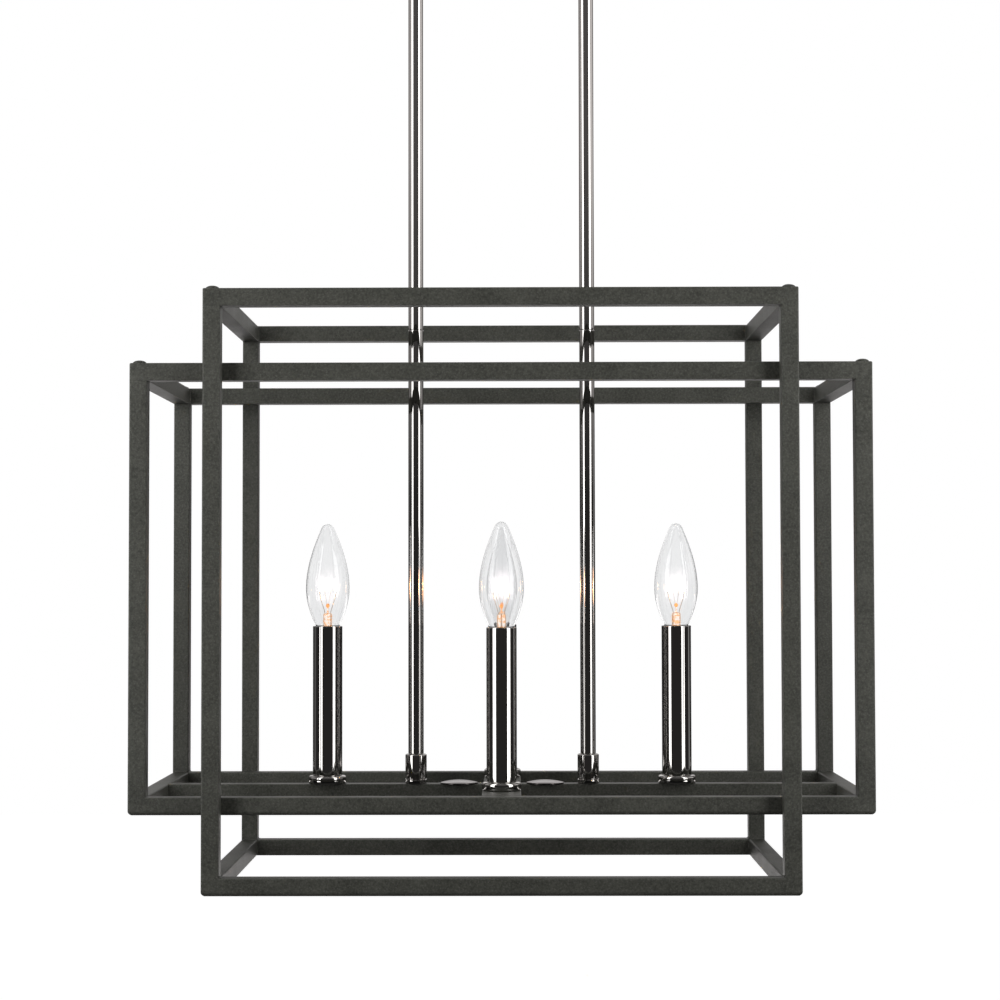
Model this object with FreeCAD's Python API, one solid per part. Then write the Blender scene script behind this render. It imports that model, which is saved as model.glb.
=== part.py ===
"""Linear island pendant: two nested open box frames on two stems, with four candle lights.

Millimetres, +Z up. The origin is the centre of the ceiling plane, X runs along the fixture's
length and Y from front (-Y) to back (+Y).
"""

import FreeCAD, Part
import math
import os
from FreeCAD import Vector

# ---------------------------------------------------------------- driving dimensions

# Ceiling canopy, a pressed sheet cover that is open towards the ceiling
CANOPY_LENGTH = 203.0
CANOPY_WIDTH = 114.0
CANOPY_HEIGHT = 22.0
CANOPY_SHEET = 1.0
CANOPY_CORNER_R = 8.0
CANOPY_EDGE_R = 3.0

# Crossbar that is screwed to the ceiling's outlet box
CROSSBAR_LENGTH = 186.0
CROSSBAR_WIDTH = 20.0
CROSSBAR_THICK = 2.0
CROSSBAR_CORNER_R = 8.0
BOX_SLOT_SPACING = 79.4
BOX_SLOT_LENGTH = 14.3
BOX_SLOT_WIDTH = 4.8
STUD_SPACING = 168.0
STUD_D = 4.0
STUD_END = 5.0
CAP_NUT_D = 10.0
CAP_NUT_BARREL = 4.5
GROUND_SCREW_X = 20.0
GROUND_SCREW_D = 4.0
GROUND_HEAD_D = 8.0
GROUND_HEAD_HEIGHT = 2.5

# Threaded tubes and their nuts
THREAD_D = 7.8
THREAD_BORE = 5.0
THREAD_FIT = 0.2
NUT_FLATS = 13.0
NUT_SIDES = 6
NUT_HEIGHT = 3.0
NUT_OVERRUN = 1.0

# Hang-straight swivels
COLLAR_D = 25.0
COLLAR_LIP_D = 20.0
BALL_D = 16.0
BALL_FIT = 0.2
BALL_TOP_FLAT = 1.0
SEAT_DROP = 4.6
LIP_DROP = 6.6
LIP_FLARE = 1.2
NIPPLE_FLANGE = 3.0
NECK_LENGTH = 11.0

# Stems
STEM_SPACING = 123.6
STEM_D = 11.0
STEM_SECTION = 305.0
JOINT_OVERLAP = 15.0
COUPLING_D = 15.3
COUPLING_HEIGHT = 21.0
COUPLING_CHAMFER = 0.7

# Square tube frames
BAR = 12.0
BAR_WALL = 1.2
BAR_EDGE_R = 0.8
GROUND_CORNER_R = 3.0
TALL_WIDTH = 400.0
TALL_HEIGHT = 406.4
TALL_DEPTH = 229.0
WIDE_WIDTH = 502.0
WIDE_HEIGHT = 304.8
TALL_DROP = 52.4

# Corner screws and the threaded plugs in the posts
SCREW_D = 4.0
SCREW_FIT = 0.15
SCREW_HEAD_D = 9.2
SCREW_HEAD_RIM = 0.6
SCREW_HEAD_FLAT_D = 7.4
SCREW_HEAD_HEIGHT = 2.2
SCREW_GRIP = 8.0
PLUG_HEIGHT = 12.0

# Cross bar and domed wiring caps
CROSS_BAR_WIDTH = 27.0
WIRE_HOLE_D = 7.0
WIRING_CAP_SPACING = 61.8
WIRING_CAP_D = 27.0
WIRING_CAP_RISE = 2.6
WIRING_CAP_SHEET = 0.8
WIRING_CAP_STUD = 8.0

# Candles
LONG_CANDLE_SPACING = 250.8
CROSS_CANDLE_SPACING = 106.0
RING_D = 27.0
RING_HEIGHT = 6.0
RING_EDGE_R = 1.8
SPIGOT_HEIGHT = 4.0
SPIGOT_FIT = 0.3
SLEEVE_D = 21.1
SLEEVE_WALL = 1.0
SLEEVE_LENGTH = 106.8
HOLDER_D = 17.4
HOLDER_HEIGHT = 33.0
HOLDER_WAIST_D = 16.0
HOLDER_LIP_HEIGHT = 6.0
HOLDER_BOSS_D = 12.0
HOLDER_BOSS_HEIGHT = 6.0
TERMINAL_POCKET = 6.0
TERMINAL_POCKET_DEPTH = 1.8
TERMINAL_HEAD_D = 4.6
TERMINAL_HEAD_HEIGHT = 1.2
TERMINAL_SHANK_D = 2.4
TERMINAL_SHANK_LENGTH = 3.5
SCREW_SHELL_WALL = 0.4
SOCKET_FIT = 0.2
CONTACT_SPRING = 0.8

# Torpedo bulbs
BULB_BASE_DROP = 4.0
BULB_BASE_D = 11.9
BULB_BASE_LENGTH = 14.0
BASE_WALL = 0.4
BASE_RECESS = 3.5
INSULATOR_HEIGHT = 2.5
CONTACT_D = 4.8
CONTACT_HEIGHT = 2.0
CONTACT_RIM = 1.2
GLASS_NECK_D = 17.0
GLASS_NECK_SLOPE = 0.46
GLASS_D = 31.2
GLASS_BELLY = 27.0
GLASS_SHOULDER_D = 12.0
GLASS_SHOULDER_SLOPE = -0.42
GLASS_TIP_LENGTH = 6.6
GLASS_TIP_FLAT_D = 8.0
GLASS_HEIGHT = 73.6
GLASS_WALL = 0.7
MOUNT_D = 6.4
MOUNT_HEIGHT = 13.4
MOUNT_FLARE_HEIGHT = 5.0
BEAD_ROD_D = 1.5
BEAD_D = 2.8
BEAD_HEIGHT = 3.4
BEAD_RISE = 3.6
LEAD_D = 0.7
LEAD_SPREAD = 12.0
LEAD_FOOT_SPREAD = 4.2
FILAMENT_Z = 25.0
FILAMENT_D = 0.8

# ---------------------------------------------------------------- derived places

# Down the stems, from the ceiling
CANOPY_FACE_Z = -CANOPY_HEIGHT
COLLAR_HEIGHT_ABOVE_BALL = BALL_D / 2 + BALL_FIT + NIPPLE_FLANGE
BALL_Z = CANOPY_FACE_Z - COLLAR_HEIGHT_ABOVE_BALL
STEM_TOP_Z = BALL_Z - NECK_LENGTH
SEAM_Z = STEM_TOP_Z - STEM_SECTION
STEM_FOOT_Z = SEAM_Z - STEM_SECTION
DECK_Z = STEM_FOOT_Z - COUPLING_HEIGHT
STEM_BORE = THREAD_D + 2 * THREAD_FIT

# The bars that carry stems and candles have their tops at DECK_Z
BAR_UNDER_Z = DECK_Z - BAR
WIDE_BOTTOM_Z = BAR_UNDER_Z
WIDE_TOP_Z = WIDE_BOTTOM_Z + WIDE_HEIGHT
WIDE_DEPTH = TALL_DEPTH - 2 * BAR
TALL_BOTTOM_Z = WIDE_BOTTOM_Z - TALL_DROP
TALL_TOP_Z = TALL_BOTTOM_Z + TALL_HEIGHT

STEM_X = STEM_SPACING / 2
SLEEVE_FOOT_Z = DECK_Z + RING_HEIGHT
SLEEVE_TOP_Z = SLEEVE_FOOT_Z + SLEEVE_LENGTH
BASE_TOP_Z = SLEEVE_TOP_Z - BULB_BASE_DROP
SHELL_FOOT_Z = BASE_TOP_Z - BULB_BASE_LENGTH
CONTACT_TIP_Z = SHELL_FOOT_Z - INSULATOR_HEIGHT - CONTACT_HEIGHT
HOLDER_TOP_Z = BASE_TOP_Z - CONTACT_SPRING
HOLDER_FOOT_Z = HOLDER_TOP_Z - HOLDER_HEIGHT
HOLDER_FLOOR_Z = CONTACT_TIP_Z - 2 * CONTACT_SPRING
BOSS_TOP_Z = HOLDER_FOOT_Z + HOLDER_BOSS_HEIGHT
TERMINAL_Z = (BOSS_TOP_Z + HOLDER_FLOOR_Z) / 2
SHELL_INNER_R = BULB_BASE_D / 2 + SOCKET_FIT
GLASS_FOOT_R = BULB_BASE_D / 2 - BASE_WALL - SOCKET_FIT
GLASS_FOOT_Z = BASE_TOP_Z - BASE_RECESS + SOCKET_FIT
THREAD_END_Z = BAR_UNDER_Z - NUT_HEIGHT - NUT_OVERRUN

CANDLES = {
    "left": (-LONG_CANDLE_SPACING / 2, 0.0),
    "right": (LONG_CANDLE_SPACING / 2, 0.0),
    "front": (0.0, -CROSS_CANDLE_SPACING / 2),
    "back": (0.0, CROSS_CANDLE_SPACING / 2),
}
SIDES = {"left": -1, "right": 1}

# ---------------------------------------------------------------- shape helpers


def export(name, solids):
    """Write one sub-part, made of one or more separate solids."""
    shape = solids[0] if len(solids) == 1 else Part.makeCompound(solids)
    shape.exportStep("parts/" + name + ".step")


def moved(shape, x, y, z=0.0):
    """A copy of a shape at another place."""
    copy = shape.copy()
    copy.translate(Vector(x, y, z))
    return copy


def rod(diameter, z_low, z_high, x=0.0, y=0.0):
    """Upright cylinder between two heights."""
    return Part.makeCylinder(diameter / 2, z_high - z_low, Vector(x, y, z_low))


def pipe(outer_d, inner_d, z_low, z_high, x=0.0, y=0.0):
    """Upright round tube between two heights."""
    return rod(outer_d, z_low, z_high, x, y).cut(rod(inner_d, z_low, z_high, x, y))


def turned(edges):
    """Solid of revolution about Z from a closed profile of edges in the XZ plane."""
    face = Part.Face(Part.Wire(Part.__sortEdges__(edges)))
    solid = face.revolve(Vector(0, 0, 0), Vector(0, 0, 1), 360)
    return Part.Solid(solid) if solid.ShapeType == "Shell" else solid


def outline(points, closed=True):
    """Straight edges through (radius, height) points."""
    corners = [Vector(r, 0, z) for r, z in points]
    if closed:
        corners.append(corners[0])
    return [Part.makeLine(a, b) for a, b in zip(corners, corners[1:])]


def bezier(points):
    """Smooth edge with (radius, height) control points."""
    curve = Part.BezierCurve()
    curve.setPoles([Vector(r, 0, z) for r, z in points])
    return curve.toShape()


def block(x_range, y_range, z_range):
    """Box between two corners."""
    low = Vector(x_range[0], y_range[0], z_range[0])
    size = [pair[1] - pair[0] for pair in (x_range, y_range, z_range)]
    return Part.makeBox(size[0], size[1], size[2], low)


def hex_nut(z_low, x=0.0, y=0.0):
    """Hexagon nut for the threaded tube."""
    step = 2 * math.pi / NUT_SIDES
    corner_r = NUT_FLATS / 2 / math.cos(step / 2)
    angles = [step * i for i in range(NUT_SIDES + 1)]
    ring = [Vector(x + corner_r * math.cos(a), y + corner_r * math.sin(a), z_low) for a in angles]
    body = Part.Face(Part.makePolygon(ring)).extrude(Vector(0, 0, NUT_HEIGHT))
    return body.cut(rod(THREAD_D + 2 * THREAD_FIT, z_low, z_low + NUT_HEIGHT, x, y))


def along(shape, direction):
    """Edges of a shape that are parallel to a direction."""
    chosen = []
    for edge in shape.Edges:
        if abs(abs(edge.tangentAt(edge.FirstParameter).dot(direction)) - 1) < 1e-6:
            chosen.append(edge)
    return chosen


def square_tube(axis, length, width, height):
    """Rectangular tube centred on the origin, with its length along an axis."""
    direction = {"x": Vector(1, 0, 0), "y": Vector(0, 1, 0), "z": Vector(0, 0, 1)}[axis]
    sizes = {"x": (length, width, height), "y": (width, length, height), "z": (width, height, length)}
    hollow = 2 * BAR_WALL
    insets = {"x": (0, hollow, hollow), "y": (hollow, 0, hollow), "z": (hollow, hollow, 0)}
    outer = centred_box(sizes[axis])
    outer = outer.makeFillet(BAR_EDGE_R, along(outer, direction))
    return outer.cut(centred_box([s - i for s, i in zip(sizes[axis], insets[axis])]))


def centred_box(size):
    """Box centred on the origin."""
    half = [s / 2 for s in size]
    return block((-half[0], half[0]), (-half[1], half[1]), (-half[2], half[2]))


def mitred_tube(axis, length):
    """Square tube whose ends are cut at 45 degrees towards its +Y side (x) or +X side (y)."""
    tube = square_tube(axis, length, BAR, BAR)
    half = length / 2
    points = [(-half, -BAR / 2), (half, -BAR / 2), (half - BAR, BAR / 2), (-half + BAR, BAR / 2)]
    if axis == "y":
        points = [(y, x) for x, y in points]
    corners = [Vector(x, y, -BAR / 2) for x, y in points + points[:1]]
    return tube.common(Part.Face(Part.makePolygon(corners)).extrude(Vector(0, 0, BAR)))


def turned_half(shape):
    """The same shape turned half way round the Z axis."""
    copy = shape.copy()
    copy.rotate(Vector(0, 0, 0), Vector(0, 0, 1), 180)
    return copy


# ---------------------------------------------------------------- frames


def rectangle(width, depth, z_low):
    """Four mitred tubes that make a flat rectangle: front, back, left and right."""
    z_mid = z_low + BAR / 2
    front = moved(mitred_tube("x", width), 0, -(depth - BAR) / 2, z_mid)
    left = moved(mitred_tube("y", depth), -(width - BAR) / 2, 0, z_mid)
    return [front, turned_half(front), left, turned_half(left)]


def corners(width, depth):
    """Centres of the four posts."""
    x = (width - BAR) / 2
    y = (depth - BAR) / 2
    return [(-x, -y), (x, -y), (x, y), (-x, y)]


def silhouette(width, depth, z_low, z_high):
    """Front outline of a frame, with its welded bottom corners ground round."""
    body = block((-width / 2, width / 2), (-depth / 2, depth / 2), (z_low, z_high))
    lower = [e for e in along(body, Vector(0, 1, 0)) if e.CenterOfMass.z < z_low + BAR]
    return body.makeFillet(GROUND_CORNER_R, lower)


def top_frame(width, depth, z_high):
    """Rectangle that is screwed down on the posts."""
    holes = []
    for x, y in corners(width, depth):
        holes.append(rod(SCREW_D + 2 * SCREW_FIT, z_high - 2 * BAR, z_high + BAR, x, y))
    return [tube.cut(holes) for tube in rectangle(width, depth, z_high - BAR)]


def lower_frame(width, depth, z_low, z_high):
    """Bottom rectangle with the four posts that stand on it."""
    outer = silhouette(width, depth, z_low, z_high)
    solids = [tube.common(outer) for tube in rectangle(width, depth, z_low)]
    post_length = z_high - z_low - 2 * BAR
    post = square_tube("z", post_length, BAR, BAR)
    for x, y in corners(width, depth):
        solids.append(moved(post, x, y, z_low + BAR + post_length / 2))
    return solids


def corner_screw(z_seat):
    """Low domed head with its shank."""
    shank_r = SCREW_D / 2
    head_r = SCREW_HEAD_D / 2
    rim = SCREW_HEAD_RIM
    crown = SCREW_HEAD_HEIGHT
    depth = BAR + SCREW_GRIP
    points = [(0, crown), (0, -depth), (shank_r, -depth), (shank_r, 0), (head_r, 0), (head_r, rim)]
    dome = bezier([(head_r, rim), (SCREW_HEAD_FLAT_D / 2, crown), (0, crown)])
    return moved(turned(outline(points, False) + [dome]), 0, 0, z_seat)


def post_plug(z_top):
    """Threaded plug in the top of a post."""
    side = BAR - 2 * BAR_WALL
    plug = moved(centred_box((side, side, PLUG_HEIGHT)), 0, 0, z_top - PLUG_HEIGHT / 2)
    return plug.cut(rod(SCREW_D + 2 * SCREW_FIT, z_top - PLUG_HEIGHT, z_top))


def make_frames():
    """The tall frame wraps round the wide one, whose depth is less by two bars."""
    screws = []
    plugs = []
    frames = {
        "tall": (TALL_WIDTH, TALL_DEPTH, TALL_BOTTOM_Z, TALL_TOP_Z),
        "wide": (WIDE_WIDTH, WIDE_DEPTH, WIDE_BOTTOM_Z, WIDE_TOP_Z),
    }
    for name, (width, depth, z_low, z_high) in frames.items():
        export(name + "_top_frame", top_frame(width, depth, z_high))
        export(name + "_lower_frame", lower_frame(width, depth, z_low, z_high))
        for x, y in corners(width, depth):
            screws.append(moved(corner_screw(z_high), x, y))
            plugs.append(moved(post_plug(z_high - BAR), x, y))
    export("corner_screws", screws)
    export("post_plugs", plugs)


# ---------------------------------------------------------------- bars that carry the lights


def make_deck():
    """Cross bar, the two halves of the middle bar and the domed wiring caps."""
    deck_mid_z = DECK_Z - BAR / 2
    passage = THREAD_D + 2 * THREAD_FIT
    cross_length = WIDE_DEPTH - 2 * BAR
    cross = moved(square_tube("y", cross_length, CROSS_BAR_WIDTH, BAR), 0, 0, deck_mid_z)
    cuts = []
    for x, y in (CANDLES["front"], CANDLES["back"]):
        cuts.append(rod(passage, BAR_UNDER_Z, DECK_Z, x, y))
    side_hole = Part.makeCylinder(WIRE_HOLE_D / 2, CROSS_BAR_WIDTH,
                                  Vector(-CROSS_BAR_WIDTH / 2, 0, deck_mid_z), Vector(1, 0, 0))
    export("cross_bar", [cross.cut(cuts + [side_hole])])

    inner_x = CROSS_BAR_WIDTH / 2
    outer_x = WIDE_WIDTH / 2 - BAR
    half = square_tube("x", outer_x - inner_x, BAR, BAR)
    for side, sign in SIDES.items():
        bar = moved(half, sign * (inner_x + outer_x) / 2, 0, deck_mid_z)
        cap_x = sign * WIRING_CAP_SPACING / 2
        cuts = [rod(passage, BAR_UNDER_Z, DECK_Z, sign * STEM_X),
                rod(passage, BAR_UNDER_Z, DECK_Z, CANDLES[side][0]),
                rod(SCREW_D + 2 * SCREW_FIT, deck_mid_z, DECK_Z, cap_x)]
        export("middle_bar_" + side, [bar.cut(cuts)])
        export("wiring_cap_" + side, [moved(wiring_cap(), cap_x, 0, DECK_Z)])


def wiring_cap():
    """Thin domed disc with a stud that goes into the bar."""
    rim_r = WIRING_CAP_D / 2
    rise = WIRING_CAP_RISE
    sphere_r = (rim_r ** 2 + rise ** 2) / (2 * rise)
    dome = Part.makeSphere(sphere_r, Vector(0, 0, rise - sphere_r))
    hollow = Part.makeSphere(sphere_r, Vector(0, 0, rise - sphere_r - WIRING_CAP_SHEET))
    shell = dome.cut(hollow).common(rod(WIRING_CAP_D, 0, rise))
    return shell.fuse(rod(SCREW_D, -WIRING_CAP_STUD, rise - WIRING_CAP_SHEET / 2))


# ---------------------------------------------------------------- ceiling mount


def rounded_tray(inset, z_low):
    """Box with rounded corners and a rounded lower edge, up to the ceiling plane."""
    length = CANOPY_LENGTH - 2 * inset
    width = CANOPY_WIDTH - 2 * inset
    tray = block((-length / 2, length / 2), (-width / 2, width / 2), (z_low, 0))
    tray = tray.makeFillet(CANOPY_CORNER_R - inset, along(tray, Vector(0, 0, 1)))
    low_edges = [e for e in tray.Edges if e.BoundBox.ZMax < z_low + inset + 1e-3]
    return tray.makeFillet(CANOPY_EDGE_R - inset, low_edges)


def make_ceiling_mount():
    """Canopy, crossbar, studs and cap nuts."""
    canopy = rounded_tray(0, CANOPY_FACE_Z).cut(rounded_tray(CANOPY_SHEET, CANOPY_FACE_Z + CANOPY_SHEET))
    inside_z = CANOPY_FACE_Z + CANOPY_SHEET
    holes = []
    for sign in SIDES.values():
        holes.append(rod(THREAD_D + 2 * THREAD_FIT, CANOPY_FACE_Z, inside_z, sign * STEM_X))
        holes.append(rod(STUD_D + 2 * SCREW_FIT, CANOPY_FACE_Z, inside_z, sign * STUD_SPACING / 2))
    export("canopy", [canopy.cut(holes)])

    bar_under_z = -CROSSBAR_THICK
    half_length = CROSSBAR_LENGTH / 2
    half_width = CROSSBAR_WIDTH / 2
    bar = block((-half_length, half_length), (-half_width, half_width), (bar_under_z, 0))
    bar = bar.makeFillet(CROSSBAR_CORNER_R, along(bar, Vector(0, 0, 1)))
    cuts = [rod(GROUND_SCREW_D + 2 * SCREW_FIT, bar_under_z, 0, GROUND_SCREW_X)]
    for sign in SIDES.values():
        cuts.append(rod(STUD_D + 2 * SCREW_FIT, bar_under_z, 0, sign * STUD_SPACING / 2))
        cuts.append(slot(sign * BOX_SLOT_SPACING / 2, bar_under_z, 0))
    export("crossbar", [bar.cut(cuts)])

    studs = []
    nuts = []
    for sign in SIDES.values():
        stud_x = sign * STUD_SPACING / 2
        studs.append(rod(STUD_D, CANOPY_FACE_Z - STUD_END, 0, stud_x))
        nuts.append(moved(cap_nut(), stud_x, 0, CANOPY_FACE_Z))
    export("canopy_studs", studs)
    export("canopy_cap_nuts", nuts)
    ground = rod(GROUND_SCREW_D, bar_under_z, 0, GROUND_SCREW_X)
    head = rod(GROUND_HEAD_D, bar_under_z - GROUND_HEAD_HEIGHT, bar_under_z, GROUND_SCREW_X)
    export("ground_screw", [ground.fuse(head).removeSplitter()])


def slot(x, z_low, z_high):
    """Slot along X for an outlet box screw."""
    reach = (BOX_SLOT_LENGTH - BOX_SLOT_WIDTH) / 2
    half = BOX_SLOT_WIDTH / 2
    middle = block((x - reach, x + reach), (-half, half), (z_low, z_high))
    ends = [rod(BOX_SLOT_WIDTH, z_low, z_high, x - reach), rod(BOX_SLOT_WIDTH, z_low, z_high, x + reach)]
    return middle.fuse(ends).removeSplitter()


def cap_nut():
    """Domed nut, closed below, with a blind hole for the stud."""
    radius = CAP_NUT_D / 2
    profile = outline([(0, -CAP_NUT_BARREL - radius), (0, 0), (radius, 0), (radius, -CAP_NUT_BARREL)], False)
    low = -CAP_NUT_BARREL
    diagonal = radius * math.sqrt(0.5)
    arc = Part.Arc(Vector(radius, 0, low), Vector(diagonal, 0, low - diagonal), Vector(0, 0, low - radius))
    solid = turned(profile + [arc.toShape()])
    return solid.cut(rod(STUD_D + 2 * SCREW_FIT, -STUD_END - BALL_FIT, 0))


# ---------------------------------------------------------------- swivels and stems


def swivel_collar():
    """Cup with a spherical seat, a flared mouth and a bore that the ball goes in through."""
    seat_r = BALL_D / 2 + BALL_FIT
    mouth_r = math.sqrt(seat_r ** 2 - SEAT_DROP ** 2)
    flare_r = mouth_r + LIP_FLARE
    top = COLLAR_HEIGHT_ABOVE_BALL
    half_angle = math.asin(SEAT_DROP / seat_r) / 2
    seat_mid = Vector(seat_r * math.cos(half_angle), 0, -seat_r * math.sin(half_angle))
    edges = outline([(flare_r, -LIP_DROP), (mouth_r, -SEAT_DROP)], False)
    edges.append(Part.Arc(Vector(mouth_r, 0, -SEAT_DROP), seat_mid, Vector(seat_r, 0, 0)).toShape())
    edges += outline([(seat_r, 0), (seat_r, top), (COLLAR_D / 2, top), (COLLAR_D / 2, 0)], False)
    lip_r = COLLAR_LIP_D / 2
    edges.append(bezier([(COLLAR_D / 2, 0), (COLLAR_D / 2, -SEAT_DROP), (lip_r, -LIP_DROP)]))
    edges += outline([(lip_r, -LIP_DROP), (flare_r, -LIP_DROP)], False)
    return turned(edges)


def swivel_ball():
    """Ball on a threaded neck, with a wire passage through both."""
    top = BALL_D / 2 - BALL_TOP_FLAT
    ball = Part.makeSphere(BALL_D / 2).common(rod(BALL_D, -BALL_D / 2, top))
    neck = rod(THREAD_D, -NECK_LENGTH - JOINT_OVERLAP, 0)
    return ball.fuse(neck).cut(rod(THREAD_BORE, -NECK_LENGTH - JOINT_OVERLAP, top))


def swivel_nipple():
    """Flanged threaded tube that holds the collar under the canopy."""
    low = CANOPY_FACE_Z - NIPPLE_FLANGE
    high = CANOPY_FACE_Z + CANOPY_SHEET + NUT_HEIGHT + NUT_OVERRUN
    flange = rod(BALL_D, low, CANOPY_FACE_Z)
    return flange.fuse(rod(THREAD_D, low, high)).cut(rod(THREAD_BORE, low, high))


def coupling():
    """Chamfered sleeve at the foot of a stem."""
    radius = COUPLING_D / 2
    cut = COUPLING_CHAMFER
    bore_r = STEM_BORE / 2
    top = COUPLING_HEIGHT
    points = [(bore_r, 0), (radius, 0), (radius, top - cut), (radius - cut, top), (bore_r, top)]
    return turned(outline(points))


def make_stems():
    """Both stems, from the swivels down to the nuts under the middle bar."""
    swivel_nipples = []
    lock_nuts = []
    joint_nipples = []
    foot_nipples = []
    foot_nuts = []
    for side, sign in SIDES.items():
        x = sign * STEM_X
        export("swivel_collar_" + side, [moved(swivel_collar(), x, 0, BALL_Z)])
        export("swivel_ball_" + side, [moved(swivel_ball(), x, 0, BALL_Z)])
        export("upper_stem_" + side, [pipe(STEM_D, STEM_BORE, SEAM_Z, STEM_TOP_Z, x)])
        export("lower_stem_" + side, [pipe(STEM_D, STEM_BORE, STEM_FOOT_Z, SEAM_Z, x)])
        export("stem_coupling_" + side, [moved(coupling(), x, 0, DECK_Z)])
        swivel_nipples.append(moved(swivel_nipple(), x, 0))
        lock_nuts.append(hex_nut(CANOPY_FACE_Z + CANOPY_SHEET, x))
        joint_nipples.append(pipe(THREAD_D, THREAD_BORE, SEAM_Z - JOINT_OVERLAP, SEAM_Z + JOINT_OVERLAP, x))
        foot_nipples.append(pipe(THREAD_D, THREAD_BORE, THREAD_END_Z, STEM_FOOT_Z + JOINT_OVERLAP, x))
        foot_nuts.append(hex_nut(BAR_UNDER_Z - NUT_HEIGHT, x))
    export("swivel_nipples", swivel_nipples)
    export("swivel_lock_nuts", lock_nuts)
    export("stem_joint_nipples", joint_nipples)
    export("stem_foot_nipples", foot_nipples)
    export("stem_foot_nuts", foot_nuts)


# ---------------------------------------------------------------- candles


def base_ring():
    """Round-edged ring with a spigot that centres the sleeve."""
    radius = RING_D / 2
    bore_r = (THREAD_D + 2 * THREAD_FIT) / 2
    spigot_r = SLEEVE_D / 2 - SLEEVE_WALL - SPIGOT_FIT
    edge = RING_EDGE_R
    spigot_top = RING_HEIGHT + SPIGOT_HEIGHT
    edges = outline([(bore_r, 0), (radius - edge, 0)], False)
    edges.append(round_edge(radius - edge, edge, edge, -90))
    edges += outline([(radius, edge), (radius, RING_HEIGHT - edge)], False)
    edges.append(round_edge(radius - edge, RING_HEIGHT - edge, edge, 0))
    edges += outline([(radius - edge, RING_HEIGHT), (spigot_r, RING_HEIGHT), (spigot_r, spigot_top),
                      (bore_r, spigot_top), (bore_r, 0)], False)
    return turned(edges)


def round_edge(centre_r, centre_z, radius, start_degrees):
    """Quarter circle in the profile plane."""
    points = []
    for degrees in (start_degrees, start_degrees + 45, start_degrees + 90):
        a = math.radians(degrees)
        points.append(Vector(centre_r + radius * math.cos(a), 0, centre_z + radius * math.sin(a)))
    return Part.Arc(*points).toShape()


def lampholder():
    """Insulating body: boss for the threaded tube, waist with two terminal pockets, cup with a lip."""
    waist_r = HOLDER_WAIST_D / 2
    lip_r = HOLDER_D / 2
    lip_z = HOLDER_TOP_Z - HOLDER_LIP_HEIGHT
    lip_slope = lip_r - waist_r
    body = turned(outline([
        (0, HOLDER_FOOT_Z), (HOLDER_BOSS_D / 2, HOLDER_FOOT_Z), (HOLDER_BOSS_D / 2, BOSS_TOP_Z),
        (waist_r, BOSS_TOP_Z), (waist_r, lip_z), (lip_r, lip_z + lip_slope), (lip_r, HOLDER_TOP_Z),
        (0, HOLDER_TOP_Z)]))
    cup = rod(2 * (SHELL_INNER_R + SCREW_SHELL_WALL), HOLDER_FLOOR_Z, HOLDER_TOP_Z)
    thread = rod(THREAD_D + 2 * THREAD_FIT, HOLDER_FOOT_Z, BOSS_TOP_Z)
    half_pocket = TERMINAL_POCKET / 2
    pocket = block((-half_pocket, half_pocket), (waist_r - TERMINAL_POCKET_DEPTH, waist_r),
                   (TERMINAL_Z - half_pocket, TERMINAL_Z + half_pocket))
    hole = terminal_shank(TERMINAL_SHANK_D + 2 * SCREW_FIT, TERMINAL_SHANK_LENGTH + SCREW_FIT)
    return body.cut([cup, thread, pocket, hole, turned_half(pocket), turned_half(hole)])


def terminal_shank(diameter, length):
    """Round shank that goes inwards from the floor of the back terminal pocket."""
    floor_y = HOLDER_WAIST_D / 2 - TERMINAL_POCKET_DEPTH
    return Part.makeCylinder(diameter / 2, length, Vector(0, floor_y, TERMINAL_Z), Vector(0, -1, 0))


def terminal_screw():
    """Terminal screw with its head in the back pocket."""
    floor_y = HOLDER_WAIST_D / 2 - TERMINAL_POCKET_DEPTH
    head = Part.makeCylinder(TERMINAL_HEAD_D / 2, TERMINAL_HEAD_HEIGHT, Vector(0, floor_y, TERMINAL_Z),
                             Vector(0, 1, 0))
    return head.fuse(terminal_shank(TERMINAL_SHANK_D, TERMINAL_SHANK_LENGTH)).removeSplitter()


def screw_shell():
    """Thin metal cup wall that the bulb screws into."""
    inner_d = 2 * SHELL_INNER_R
    return pipe(inner_d + 2 * SCREW_SHELL_WALL, inner_d, SHELL_FOOT_Z, HOLDER_TOP_Z)


def centre_contact():
    """Disc with a raised button under the bulb's contact."""
    disc = rod(2 * SHELL_INNER_R, HOLDER_FLOOR_Z, HOLDER_FLOOR_Z + CONTACT_SPRING)
    return disc.fuse(rod(CONTACT_D, HOLDER_FLOOR_Z, CONTACT_TIP_Z - SOCKET_FIT))


def bulb_base():
    """Screw base: shell with a recess for the glass, insulator and contact."""
    radius = BULB_BASE_D / 2
    contact_r = CONTACT_D / 2
    recess_r = radius - BASE_WALL
    recess_z = BASE_TOP_Z - BASE_RECESS
    insulator_z = SHELL_FOOT_Z - INSULATOR_HEIGHT
    button_r = contact_r * math.sqrt(0.5)
    button_z = insulator_z - CONTACT_RIM
    points = [(0, recess_z), (recess_r, recess_z), (recess_r, BASE_TOP_Z), (radius, BASE_TOP_Z),
              (radius, SHELL_FOOT_Z), (contact_r, insulator_z), (contact_r, button_z),
              (button_r, CONTACT_TIP_Z), (0, CONTACT_TIP_Z)]
    return turned(outline(points))


def swell(low, low_slope, high, high_slope):
    """Smooth edge between two (radius, height) points, with the growth of the radius at each."""
    third = (high[1] - low[1]) / 3
    return bezier([low, (low[0] + low_slope * third, low[1] + third),
                   (high[0] - high_slope * third, high[1] - third), high])


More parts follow.
